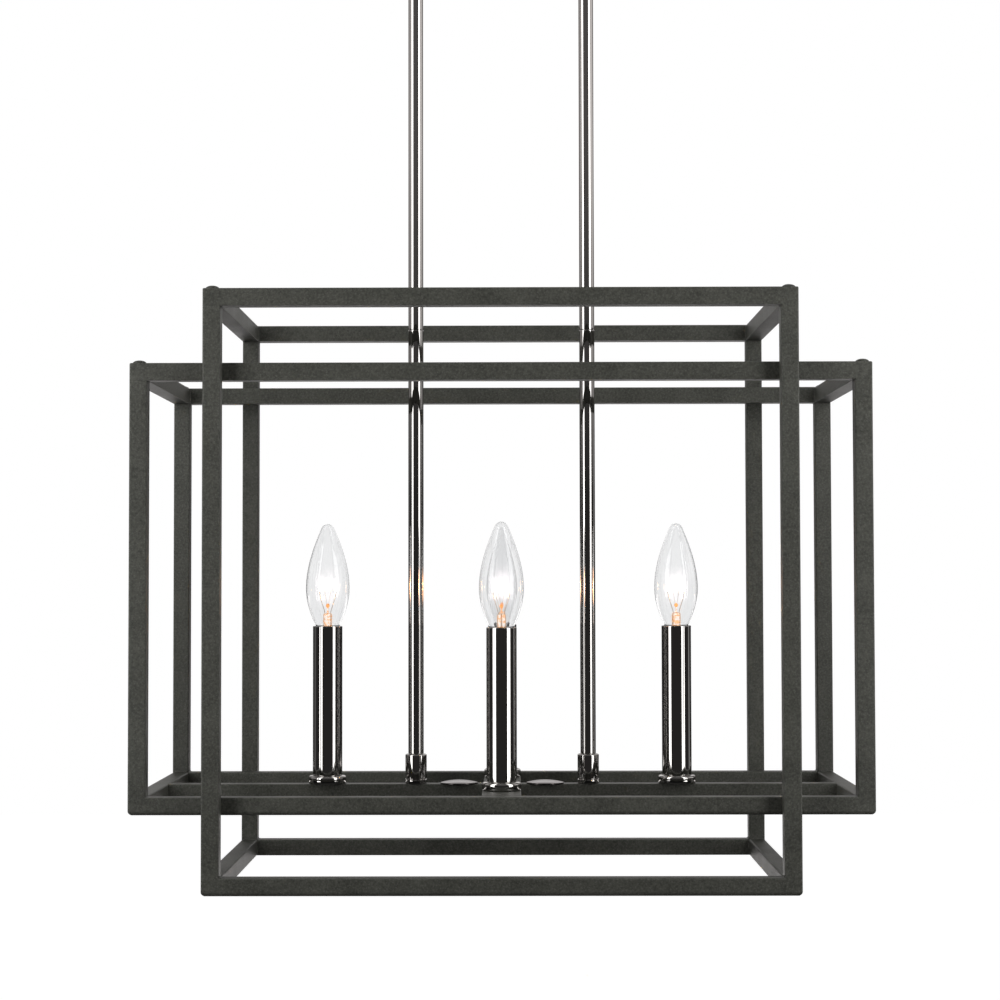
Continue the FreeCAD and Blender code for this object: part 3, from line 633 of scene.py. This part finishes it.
def plated(node, finish, profile, segments, body=FIXTURE, material=NICKEL, **settings):
    """Turned piece in polished plate that stands for a construction node."""
    piece = turn(node + finish, profile, middle(node), segments, **settings)
    dress(piece, body, "black_nickel", material, node)


def tube_profile(outer, inner, low, high, edge):
    """Closed profile of a round tube with eased outer edges. A ring beside each keeps the wall straight."""
    hold = edge + 0.25 * MM
    return ([(inner, low)] + eased_foot(outer, low, edge) + [(outer, low + hold), (outer, high - hold)]
            + eased_top(outer, high, edge) + [(inner, high)])


def make_stems():
    """Both stems in two sections, with a grooved coupling at their foot."""
    for side in SIDES:
        for node in ("upper_stem_" + side, "lower_stem_" + side):
            foot, top, radius = round_box(node)
            profile = tube_profile(radius, THREAD_HOLE, foot, top, 0.35 * MM)
            plated(node, "_polished", profile, 96, closed=True)
        node = "stem_coupling_" + side
        foot, top, radius = round_box(node)
        groove = ring_groove(radius, foot + 2.7 * MM, foot + 3.7 * MM, 0.35 * MM, 0.35 * MM)
        profile = ([(THREAD_HOLE, foot)] + eased_foot(radius, foot, 0.5 * MM) + groove
                   + [(radius, foot + 3.9 * MM), (radius, top - 1.1 * MM)]
                   + eased_top(radius, top, 0.9 * MM, 5) + [(THREAD_HOLE, top)])
        plated(node, "_polished", profile, 72, closed=True)


def make_swivels():
    """Collar with a flared lip, and the ball on its threaded neck."""
    for side in SIDES:
        collar = "swivel_collar_" + side
        ball = "swivel_ball_" + side
        ball_foot, ball_top, ball_radius = round_box(ball)
        ball_z = ball_top + 1.0 * MM - ball_radius

        foot, top, radius = round_box(collar)
        seat = ball_radius + 0.2 * MM
        mouth_drop = 4.6 * MM
        lip_radius = 10 * MM
        lip_wall = 1.2 * MM
        lip = curve((lip_radius, foot), (radius, foot + 2.0 * MM), (radius, ball_z - 1.0 * MM),
                    (radius, ball_z + 0.5 * MM), 10)
        inner = arc(0, ball_z, seat, 0, -math.degrees(math.asin(mouth_drop / seat)), 8)
        profile = (lip + ring_groove(radius, top - 3.2 * MM, top - 2.0 * MM, 0.5 * MM, 0.3 * MM)
                   + eased_top(radius, top, 0.6 * MM) + [(seat, top)] + inner
                   + [(inner[-1][0] + lip_wall, foot)])
        plated(collar, "_polished", profile, 96, body=CEILING, closed=True)

        neck_end = -math.degrees(math.acos(THREAD_RADIUS / ball_radius))
        rim = math.degrees(math.asin((ball_top - ball_z) / ball_radius))
        sphere = arc(0, ball_z, ball_radius, neck_end, rim, 28)
        profile = [(WIRE_BORE, ball_foot)]
        height = ball_foot
        while height < sphere[0][1] - THREAD_PITCH:
            profile += [(THREAD_RADIUS, height), (THREAD_RADIUS - THREAD_DEPTH, height + THREAD_PITCH / 2)]
            height += THREAD_PITCH
        profile += [(THREAD_RADIUS, height)] + sphere + [(WIRE_BORE, ball_top)]
        plated(ball, "_turned", profile, 64, closed=True, smooth_angle=30)


def make_caps():
    """Thin domed discs over the wire entries of the middle bar, with a rolled rim."""
    rim_height = 0.8 * MM
    lift = 0.05 * MM
    steps = 12
    for side in SIDES:
        node = "wiring_cap_" + side
        top, radius = round_box(node)[1:]
        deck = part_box("middle_bar_" + side)[1].z
        rim_top = deck + rim_height
        dome_radius = radius - 0.25 * MM
        dome_rise = top - rim_top - 0.1 * MM
        sphere = (dome_radius ** 2 + dome_rise ** 2) / (2 * dome_rise)
        rim = [(radius - 0.15 * MM, deck), (radius, deck + 0.12 * MM), (radius, rim_top - 0.15 * MM),
               (radius - 0.1 * MM, rim_top)]
        profile = [(0, deck + lift), (0.5 * radius, deck + lift)] + rim
        for i in range(steps + 1):
            r = dome_radius * (1 - i / steps)
            profile.append((r, top - sphere + math.sqrt(sphere ** 2 - r ** 2)))
        # The caps take the painted-dark copy of black nickel.
        plated(node, "_domed", profile, 72, material=CAP_NICKEL_PAINTED_DARK, smooth_angle=60)


def make_cap_nuts():
    """Domed nuts that hold the canopy, each with a step over its dome."""
    low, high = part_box("canopy_cap_nuts")
    radius = (high.y - low.y) / 2
    stud = 2.1 * MM
    edge = 0.4 * MM
    step = 0.5 * MM
    dome_z = low.z + radius
    profile = ([(stud, high.z), (radius - edge, high.z), (radius, high.z - edge),
                (radius, dome_z + 1.2 * MM), (radius - step, dome_z + 0.8 * MM),
                (radius - step, dome_z + 0.3 * MM)]
               + arc(0, dome_z, radius, 0, -90, 10)[:-1] + [(0, low.z)])
    nuts = []
    for x in (radius - high.x, high.x - radius):
        nuts.append(turn("nut", profile, (x, 0), 48, smooth_angle=35))
    dress(join("canopy_cap_nuts_domed", nuts), CEILING, "black_nickel", NICKEL, "canopy_cap_nuts")


make_stems()
make_swivels()
make_caps()
make_cap_nuts()


# ---------------- threaded tubes and nuts


def threaded(name, radius, depth, pitch, low, high, segments=20):
    """Thread: one turn of its flank, wound up a screw."""
    piece = start_piece(bpy.ops.mesh.primitive_circle_add, vertices=3, radius=pitch / 2, location=(0, 0, 0))
    bpy.ops.object.mode_set(mode="EDIT")
    bpy.ops.mesh.select_all(action="SELECT")
    bpy.ops.mesh.delete(type="VERT")
    bpy.ops.object.mode_set(mode="OBJECT")
    mesh = piece.data
    turns = int((high - low) / pitch) - 1
    steps = 6
    mesh.vertices.add(steps + 1)
    mesh.edges.add(steps)
    for i in range(steps + 1):
        t = i / steps
        crest = 0.5 - 0.5 * math.cos(2 * math.pi * t)
        mesh.vertices[i].co = (radius - depth + depth * crest, 0, low + pitch * t)
    for i in range(steps):
        mesh.edges[i].vertices = (i, i + 1)
    mesh.update()
    apply_modifier(piece, "SCREW", angle=2 * math.pi, screw_offset=pitch, iterations=turns, steps=segments,
                   render_steps=segments, axis="Z", use_merge_vertices=True, merge_threshold=TOUCH,
                   use_normal_calculate=False)
    return finish_mesh(piece, name, 60)


def make_threads(node, name, places):
    """Threaded tubes of one node."""
    low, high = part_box(node)
    thread = threaded("thread", THREAD_RADIUS, THREAD_DEPTH, THREAD_PITCH, low.z, high.z)
    core_radius = THREAD_RADIUS - 0.6 * THREAD_DEPTH
    core = turn("core", tube_profile(core_radius, WIRE_BORE, low.z, high.z, 0.2 * MM), segments=24,
                closed=True)
    tube = join("thread", [thread, core])
    dress(repeat(tube, name, places), FIXTURE, "zinc_steel", ZINC, node)


def make_nuts(node, places, body):
    """Hexagon nuts with chamfered corners."""
    low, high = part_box(node)
    foot, top = low.z, high.z
    flats = 13.0 * MM
    corner = flats / math.sqrt(3)
    hole = 4.0 * MM
    chamfer = 0.9 * MM
    beyond = 2 * MM
    face = flats / 2 + 0.1 * MM
    widest = corner + 0.3 * MM
    nut = start_piece(bpy.ops.mesh.primitive_cylinder_add, vertices=6, radius=corner, depth=top - foot,
                      end_fill_type="NGON", location=(0, 0, (foot + top) / 2))
    washer = turn("washer", [(0, foot - MM), (face, foot - MM), (widest, foot + chamfer),
                             (widest, top - chamfer), (face, top + MM), (0, top + MM)], segments=48)
    bore = turn("bore", [(0, foot - beyond), (hole, foot - beyond), (hole, top + beyond), (0, top + beyond)],
                segments=32)
    carve(nut, washer, "INTERSECT")
    carve(nut, bore)
    shade(nut, 25)
    dress(repeat(nut, node + "_chamfered", places), body, "zinc_steel", ZINC, node)


STEM_PLACES = [(*middle("lower_stem_" + side), 0) for side in SIDES]
CANDLE_PLACES = [(*middle("sleeve_" + place), 0) for place in PLACES]
make_threads("candle_threads", "candle_threads_cut", CANDLE_PLACES)
make_threads("stem_foot_nipples", "stem_foot_threads_cut", STEM_PLACES)
make_nuts("candle_nuts", CANDLE_PLACES, FIXTURE)
make_nuts("stem_foot_nuts", STEM_PLACES, FIXTURE)
make_nuts("swivel_lock_nuts", STEM_PLACES, CEILING)


# ---------------- candles


def make_sleeves():
    """Polished candle sleeves with a rolled lip, on round base rings."""
    spigot = 9.25 * MM
    ease = 0.3 * MM
    for place in PLACES:
        node = "sleeve_" + place
        foot, top, radius = round_box(node)
        profile = tube_profile(radius, radius - 1.0 * MM, foot, top, 0.45 * MM)
        plated(node, "_polished", profile, 96, body=node, closed=True)

        node = "base_ring_" + place
        foot, top, radius = round_box(node)
        step = foot + 6.0 * MM
        profile = ([(THREAD_HOLE, foot)] + eased_foot(radius, foot, 1.4 * MM, 5)
                   + eased_top(radius, step, 1.8 * MM, 7)
                   + [(spigot, step), (spigot, top - ease), (spigot - ease, top), (THREAD_HOLE, top)])
        plated(node, "_polished", profile, 72, closed=True)


def make_lampholder():
    """Moulded candelabra lampholder: ribbed barrel, lip at its mouth, boss and two terminal pockets."""
    foot, top, radius = round_box("lampholder_left")
    boss = 6.0 * MM
    boss_top = foot + 6.0 * MM
    cup = 6.55 * MM
    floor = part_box("centre_contacts")[0].z
    waist = radius - 0.7 * MM
    profile = [(THREAD_HOLE, foot), (boss - 0.4 * MM, foot), (boss, foot + 0.4 * MM), (boss, boss_top),
               (waist - 0.6 * MM, boss_top), (waist, boss_top + 0.6 * MM), (waist, top - 6.0 * MM),
               (radius, top - 5.3 * MM), (radius, top - 0.5 * MM), (radius - 0.5 * MM, top),
               (cup, top), (cup, floor), (THREAD_HOLE, floor)]
    body = turn("lampholder", profile, closed=True, smooth_angle=30)
    screw_low, screw_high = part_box("terminal_screws")
    for sign in (1, -1):
        place = (0, sign * (waist + 0.2 * MM), (screw_low.z + screw_high.z) / 2)
        carve(body, start_piece(bpy.ops.mesh.primitive_cube_add, size=1, location=place,
                                scale=(6 * MM, 4 * MM, 6 * MM)))
    rib_count = 16
    rib_radius = 0.45 * MM
    rib = [(0, boss_top + 1.5 * MM), (rib_radius, boss_top + 2.2 * MM), (rib_radius, top - 6.6 * MM),
           (0, top - 6.0 * MM)]
    ribs = []
    for i in range(rib_count):
        angle = 2 * math.pi * (i + 0.5) / rib_count
        beside_pocket = abs(math.sin(angle)) <= 0.8
        if beside_pocket:
            out = waist + 0.05 * MM
            ribs.append(turn("rib", rib, (out * math.cos(angle), out * math.sin(angle)), 8))
    shade(body, 30)
    return join("lampholder", [body] + ribs)


def make_terminal_screws():
    """Two slotted screws in the pockets of each lampholder."""
    low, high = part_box("terminal_screws")
    head_top = high.y - middle("lampholder_back")[1]
    head = (high.z - low.z) / 2
    seat = head_top - 1.2 * MM
    shank_radius = 1.2 * MM
    shank_end = seat - 3.5 * MM
    edge = 0.3 * MM
    screw = turn("terminal", [(0, shank_end), (shank_radius, shank_end), (shank_radius, seat), (head, seat),
                              (head, head_top - edge), (head - edge, head_top), (0, head_top)], segments=32)
    carve(screw, start_piece(bpy.ops.mesh.primitive_cube_add, size=1, location=(0, 0, head_top),
                             scale=(3 * head, 0.7 * MM, 1.0 * MM)))
    screws = []
    for turn_back in (0, math.pi):
        twin = copy_to(screw, "terminal", (0, 0, 0))
        twin.rotation_euler = (-math.pi / 2, 0, turn_back)
        settle(twin)
        for x, y, _ in CANDLE_PLACES:
            screws.append(copy_to(twin, "terminal", (x, y, (low.z + high.z) / 2)))
        bpy.data.objects.remove(twin)
    bpy.data.objects.remove(screw)
    whole = join("terminal_screws_slotted", screws)
    shade(whole, 30)
    dress(whole, FIXTURE, "zinc_steel", ZINC, "terminal_screws")


def make_lampholders():
    """Four lampholders from one pattern."""
    pattern = make_lampholder()
    for place, offset in zip(PLACES, CANDLE_PLACES):
        node = "lampholder_" + place
        dress(copy_to(pattern, node + "_moulded", offset), FIXTURE, "phenolic", PHENOLIC, node)
    bpy.data.objects.remove(pattern)


def make_screw_shells():
    """Rolled brass shells, whose thread matches the bulbs' bases."""
    low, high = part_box("screw_shells")
    radius = 6.29 * MM
    wave = 0.12 * MM
    sheet = 0.12 * MM
    steps = 10
    profile = []
    for i in range(int((high.z - low.z) / BASE_PITCH) * steps + 1):
        roll = wave * math.cos(2 * math.pi * i / steps)
        profile.append((radius + roll, low.z + BASE_PITCH * i / steps))
    profile.append((radius, high.z))
    inner = [(r - sheet, z) for r, z in reversed(profile)]
    shell = turn("shell", profile + inner, segments=48, closed=True, smooth_angle=60)
    dress(repeat(shell, "screw_shells_rolled", CANDLE_PLACES), FIXTURE, "brass_contacts", BRASS,
          "screw_shells")


make_sleeves()
make_lampholders()
make_terminal_screws()
make_screw_shells()


# ---------------- bulbs


def swell(low, low_slope, high, high_slope, steps):
    """Smooth stretch of a profile between two points, with the growth of the radius at each."""
    third = (high[1] - low[1]) / 3
    return curve(low, (low[0] + low_slope * third, low[1] + third),
                 (high[0] - high_slope * third, high[1] - third), high, steps)


def glass_profile():
    """Rings of the torpedo from the neck's foot to its tip."""
    glass_foot, tip_z, belly_radius = round_box("bulb_glass_left")
    neck_slope = 0.46
    shoulder_slope = -0.42
    shoulder_z = tip_z - 6.6 * MM
    foot = (5.35 * MM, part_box("bulb_base_left")[1].z)
    neck = (8.5 * MM, SLEEVE_TOP)
    belly = (belly_radius, SLEEVE_TOP + 27 * MM)
    shoulder = (6.0 * MM, shoulder_z)
    rings = [(foot[0], glass_foot)]
    rings += swell(foot, 0, neck, neck_slope, 8)
    rings += swell(neck, neck_slope, belly, 0, 20)[1:]
    rings += swell(belly, 0, shoulder, shoulder_slope, 28)[1:]
    rings += curve(shoulder, (4.6 * MM, shoulder_z + 3.3 * MM), (4.0 * MM, tip_z), (0, tip_z), 14)[1:]
    return rings


def make_glass_pattern():
    """Blown envelope with a real wall."""
    envelope = turn("envelope", glass_profile(), segments=96, smooth_angle=80)
    apply_modifier(envelope, "SOLIDIFY", thickness=GLASS_WALL, offset=-1.0, use_rim=True,
                   use_even_offset=True)
    shade(envelope, 80)
    return envelope


def make_base_patterns():
    """Screw base with rolled thread, bell mouth and solder contact, and its black insulator."""
    foot, top, radius = round_box("bulb_base_left")
    shell_foot = top - 14.0 * MM
    thread_top = top - 2.6 * MM
    inside = top - 3.4 * MM
    core = radius - BASE_THREAD_DEPTH - 0.05 * MM
    insulator_foot = shell_foot - 2.5 * MM
    plug_top = shell_foot + 0.5 * MM
    contact_top = insulator_foot + 0.1 * MM
    thread = threaded("thread", radius, BASE_THREAD_DEPTH, BASE_PITCH, shell_foot + 0.2 * MM, thread_top, 48)
    collar = turn("collar", [(core, shell_foot + 0.4 * MM), (core, thread_top - 0.4 * MM),
                             (radius - 0.1 * MM, thread_top + 0.3 * MM), (radius, top - 0.3 * MM),
                             (radius - 0.15 * MM, top), (radius - 0.4 * MM, top),
                             (radius - 0.4 * MM, inside), (0, inside)])
    insulator = turn("insulator", [(0, insulator_foot), (2.4 * MM, insulator_foot),
                                   (3.2 * MM, insulator_foot + 0.4 * MM), (core + 0.1 * MM, shell_foot),
                                   (core, plug_top), (0, plug_top)], segments=48)
    contact = turn("contact", [(0, foot), (1.1 * MM, foot + 0.12 * MM), (1.9 * MM, foot + 0.7 * MM),
                               (2.35 * MM, foot + 1.5 * MM), (2.4 * MM, contact_top), (0, contact_top)],
                   segments=32)
    return join("base", [thread, collar, contact]), insulator


def wire_through(name, points, radius):
    """Round wire along a smooth open curve."""
    line = bpy.data.curves.new(name, "CURVE")
    line.dimensions = "3D"
    line.bevel_depth = radius
    line.bevel_resolution = 3
    line.use_fill_caps = True
    line.resolution_u = 6
    spline = line.splines.new("NURBS")
    spline.points.add(len(points) - 1)
    for point, co in zip(spline.points, points):
        point.co = (*co, 1)
    spline.order_u = 3
    spline.use_endpoint_u = True
    piece = bpy.data.objects.new(name, line)
    bpy.context.scene.collection.objects.link(piece)
    select_only(piece)
    bpy.ops.object.convert(target="MESH")
    return finish_mesh(bpy.context.object, name, 60)


def make_glass_stem(base_top, pinch, bead):
    """Glass stem with its flare, pressed flat below the pinch, and the bead above it."""
    low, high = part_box("bulb_mount_left")
    flare = (high.y - low.y) / 2
    stem = 3.2 * MM
    neck = 0.7 * MM
    neck_top = bead + 0.5 * MM
    flattened = 0.55
    profile = ([(0, low.z), (flare, low.z), (flare, base_top)]
               + curve((flare, base_top), (stem, base_top), (stem, base_top + 2 * MM),
                       (stem, base_top + 5 * MM), 8)[1:]
               + [(stem, pinch - 1.4 * MM), (stem - 0.3 * MM, pinch - 0.6 * MM),
                  (stem - 0.9 * MM, pinch - 0.1 * MM), (0.9 * MM, pinch), (neck, pinch + 0.8 * MM),
                  (neck, neck_top), (0, neck_top)])
    glass = turn("glass_stem", profile, segments=48, smooth_angle=60)
    ball = arc(0, bead + 1.7 * MM, 1.4 * MM, -65, 65, 10)
    button = turn("bead", [(0, bead + 0.05 * MM)] + ball + [(0, bead + 3.35 * MM)], segments=32,
                  smooth_angle=60)
    pick(glass, "vertices", lambda mesh, v: base_top + 5.5 * MM < v.co.z < pinch + 0.1 * MM)
    bpy.ops.transform.resize(value=(1, flattened, 1), center_override=(0, 0, pinch))
    bpy.ops.object.mode_set(mode="OBJECT")
    return glass, button


def make_mount_patterns():
    """Glass stem and bead, the leads and supports, and the coil that hangs between them."""
    base_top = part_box("bulb_base_left")[1].z
    pinch = base_top + 13.4 * MM
    bead = pinch + 3.6 * MM
    glass, button = make_glass_stem(base_top, pinch, bead)

    arch = 6.0 * MM
    arch_z = SLEEVE_TOP + 25 * MM
    leads = []
    for sign in (-1, 1):
        points = [(1.9 * MM, base_top + 4 * MM), (2.0 * MM, pinch - 0.5 * MM), (2.4 * MM, pinch + 2 * MM),
                  (5.2 * MM, arch_z - 5 * MM), (arch, arch_z - 1.5 * MM), (arch, arch_z)]
        leads.append(wire_through("lead", [(sign * x, 0, z) for x, z in points], 0.25 * MM))
    for lean in (-2.6 * MM, 2.6 * MM):
        points = [(0.2 * lean, 0, bead + 2 * MM), (0.4 * lean, 0.3 * MM, bead + 6 * MM),
                  (0.9 * lean, 0.4 * MM, arch_z), (lean, 0.3 * MM, arch_z + 4.9 * MM)]
        leads.append(wire_through("support", points, 0.11 * MM))

    coil = []
    coil_radius = 0.42 * MM
    wire = 0.26 * MM
    sag = 0.4 * MM
    turns = 26
    steps = turns * 10
    for i in range(steps + 1):
        t = i / steps
        sweep = math.pi * (1 - t)
        phase = 2 * math.pi * turns * t
        out = arch + coil_radius * math.cos(phase)
        coil.append((out * math.cos(sweep), coil_radius * math.sin(phase),
                     arch_z + (out - sag) * math.sin(sweep)))
    return glass, button, join("leads", leads), wire_through("filament", coil, wire)


def make_bulbs():
    """Four lit bulbs, each with envelope, base and mount."""
    envelope = make_glass_pattern()
    base, insulator = make_base_patterns()
    stem, bead, leads, filament = make_mount_patterns()
    for place, offset in zip(PLACES, CANDLE_PLACES):
        glass_node = "bulb_glass_" + place
        base_node = "bulb_base_" + place
        mount_node = "bulb_mount_" + place
        for pattern, name, slot, material, nodes in (
                (envelope, glass_node + "_blown", "clear_glass", GLASS, [glass_node]),
                (base, base_node + "_rolled", "bulb_base_metal", BASE_METAL, [base_node]),
                (insulator, "bulb_insulator_" + place, "phenolic", VITRITE, []),
                (stem, "bulb_stem_" + place, "filament_mount", MOUNT_GLASS, [mount_node]),
                (bead, "bulb_bead_" + place, "filament_mount", BEAD_GLASS, []),
                (leads, "bulb_leads_" + place, "bulb_base_metal", LEAD_WIRE, []),
                (filament, "bulb_filament_" + place, "filament_mount", FILAMENT, [])):
            dress(copy_to(pattern, name, offset), "bulb_" + place, slot, material, *nodes)
    for pattern in (envelope, base, insulator, stem, bead, leads, filament):
        bpy.data.objects.remove(pattern)


make_bulbs()


# ---------------- construction nodes that stay


def coat_nodes(material, *names):
    """Give construction nodes a material."""
    for name in names:
        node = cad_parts[name]
        node.data.materials.clear()
        node.data.materials.append(material)


coat_nodes(COAT, "canopy", "cross_bar", "middle_bar_left", "middle_bar_right")
coat_nodes(ZINC, "crossbar", "canopy_studs", "swivel_nipples", "stem_joint_nipples", "post_plugs")
coat_nodes(GREEN, "ground_screw")
coat_nodes(BRASS, "centre_contacts")


# ---------------- studio

CAMERA_PLACE = Vector((8.31, -1555.85, -530.61)) * MM
CAMERA_PITCH = 0.03775
CAMERA_YAW = -0.00609
CAMERA_ROLL = -0.0019
FOCAL_PIXELS = 2158.6
PHOTO_PIXELS = 1000
SENSOR = 36.0
WHITE = (1, 1, 1, 1)
MIRRORED_WHITE = (1, 0.965, 0.96, 1)
FLOOR_HEIGHT = -1.45
STRIP_DISTANCE = 0.85
STRIP_LEVEL = 0.05
STRIP_HEIGHT = 1.7


def make_camera():
    """Camera at the photograph's place, looking along its direction."""
    data = bpy.data.cameras.new("photo_camera")
    data.sensor_fit = "HORIZONTAL"
    data.sensor_width = SENSOR
    data.lens = FOCAL_PIXELS / PHOTO_PIXELS * SENSOR
    data.clip_end = 50
    camera = bpy.data.objects.new("photo_camera", data)
    bpy.context.scene.collection.objects.link(camera)
    forward = Vector((math.sin(CAMERA_YAW) * math.cos(CAMERA_PITCH),
                      math.cos(CAMERA_YAW) * math.cos(CAMERA_PITCH), math.sin(CAMERA_PITCH)))
    level = Vector((math.cos(CAMERA_YAW), -math.sin(CAMERA_YAW), 0))
    up = level.cross(forward)
    right = level * math.cos(CAMERA_ROLL) + up * math.sin(CAMERA_ROLL)
    top = up * math.cos(CAMERA_ROLL) - level * math.sin(CAMERA_ROLL)
    turned = Matrix((right, top, -forward)).transposed().to_4x4()
    camera.matrix_world = Matrix.Translation(CAMERA_PLACE) @ turned
    bpy.context.scene.camera = camera


def make_softbox(name, azimuth, width, strength, distance=STRIP_DISTANCE, place_z=STRIP_LEVEL,
                 aim_z=STRIP_LEVEL, height=STRIP_HEIGHT):
    """Softbox round the object, aimed at its middle line. Strength 1 looks white in a mirror."""
    angle = math.radians(azimuth)
    place = Vector((math.sin(angle) * distance, -math.cos(angle) * distance, place_z))
    data = bpy.data.lights.new(name, "AREA")
    data.shape = "RECTANGLE"
    data.size = width
    data.size_y = height
    data.energy = strength * math.pi * width * height
    lamp = bpy.data.objects.new(name, data)
    bpy.context.scene.collection.objects.link(lamp)
    lamp.location = place
    lamp.rotation_euler = (Vector((0, 0, aim_z)) - place).to_track_quat("-Z", "Y").to_euler()
    lamp.visible_camera = False
    lamp.visible_transmission = False


def make_world():
    """White to the eye and through glass, and soft light on the object.

    Its reflections show a dim room, with pale walls to both sides and behind, from just above the
    level of the object upwards, and the pale backdrop once more from just below it downwards.
    """
    world = bpy.data.worlds.new("studio")
    world.use_nodes = True
    world.node_tree.nodes.clear()
    bpy.context.scene.world = world
    n = Nodes(world.node_tree)
    towards = n.axes(n.add("ShaderNodeTexCoord").outputs["Generated"])
    left = n.span(towards["X"], -0.80, -0.97, 0.1, 0.6)
    right = n.span(towards["X"], 0.80, 0.97, 0.0, 0.9)
    behind = n.span(towards["Y"], 0.70, 0.93, 0.0, 0.7)
    above = n.span(towards["Z"], 0.04, 0.20)
    below = n.span(towards["Z"], -0.09, -0.16)
    around = n.math("ADD", n.math("ADD", left, right), behind)
    walls = n.math("ADD", n.math("MULTIPLY", around, above), n.math("MULTIPLY", behind, below))
    room_level = n.math("ADD", walls, 0.035)
    white = n.add("ShaderNodeBackground", {"Color": WHITE, "Strength": 1.0}).outputs[0]
    room = n.add("ShaderNodeBackground", {"Color": MIRRORED_WHITE, "Strength": room_level}).outputs[0]
    fill = n.add("ShaderNodeBackground", {"Color": WHITE, "Strength": 0.09}).outputs[0]
    n.add("ShaderNodeOutputWorld", {"Surface": n.split_rays(white, room, fill)})


def make_floor():
    """Pale floor well below the object, white to the eye apart from the soft shadow.

    In reflections it is dim, and turns into the bright backdrop towards the back.
    """
    floor = start_piece(bpy.ops.mesh.primitive_plane_add, size=14, location=(0, 0, FLOOR_HEIGHT))
    floor.name = "studio_floor"
    material = bpy.data.materials.new("studio_floor")
    material.use_nodes = True
    material.node_tree.nodes.clear()
    n = Nodes(material.node_tree)
    pale, soft, dim = (n.add("ShaderNodeBsdfDiffuse", {"Color": (level, level, level, 1)}).outputs[0]
                       for level in (0.8, 0.4, 0.1))
    lift = n.add("ShaderNodeEmission", {"Color": WHITE, "Strength": 0.97}).outputs[0]
    behind = n.span(n.axes(n.place())["Y"], 1.5, 3.0, 0.0, 2.0)
    backdrop = n.add("ShaderNodeEmission", {"Color": MIRRORED_WHITE, "Strength": behind}).outputs[0]
    seen = n.split_rays(n.join_shaders(lift, soft), n.join_shaders(dim, backdrop), pale)
    n.add("ShaderNodeOutputMaterial", {"Surface": seen})
    floor.data.materials.append(material)


make_camera()
make_world()
make_floor()
make_softbox("strip_left", -53.5, 0.36, 4.1)
make_softbox("strip_right", 53.5, 0.36, 4.1)
make_softbox("side_left", -107, 0.30, 0.11)
make_softbox("side_right", 107, 0.18, 0.35)
make_softbox("back_top", 180, 1.3, 0.6, distance=1.1, place_z=0.19, aim_z=-0.5, height=0.9)
make_softbox("overhead", 180, 1.0, 0.35, distance=0.1, place_z=0.8, aim_z=-0.5, height=0.8)
bpy.context.scene.view_settings.view_transform = "Standard"

start_fresh()
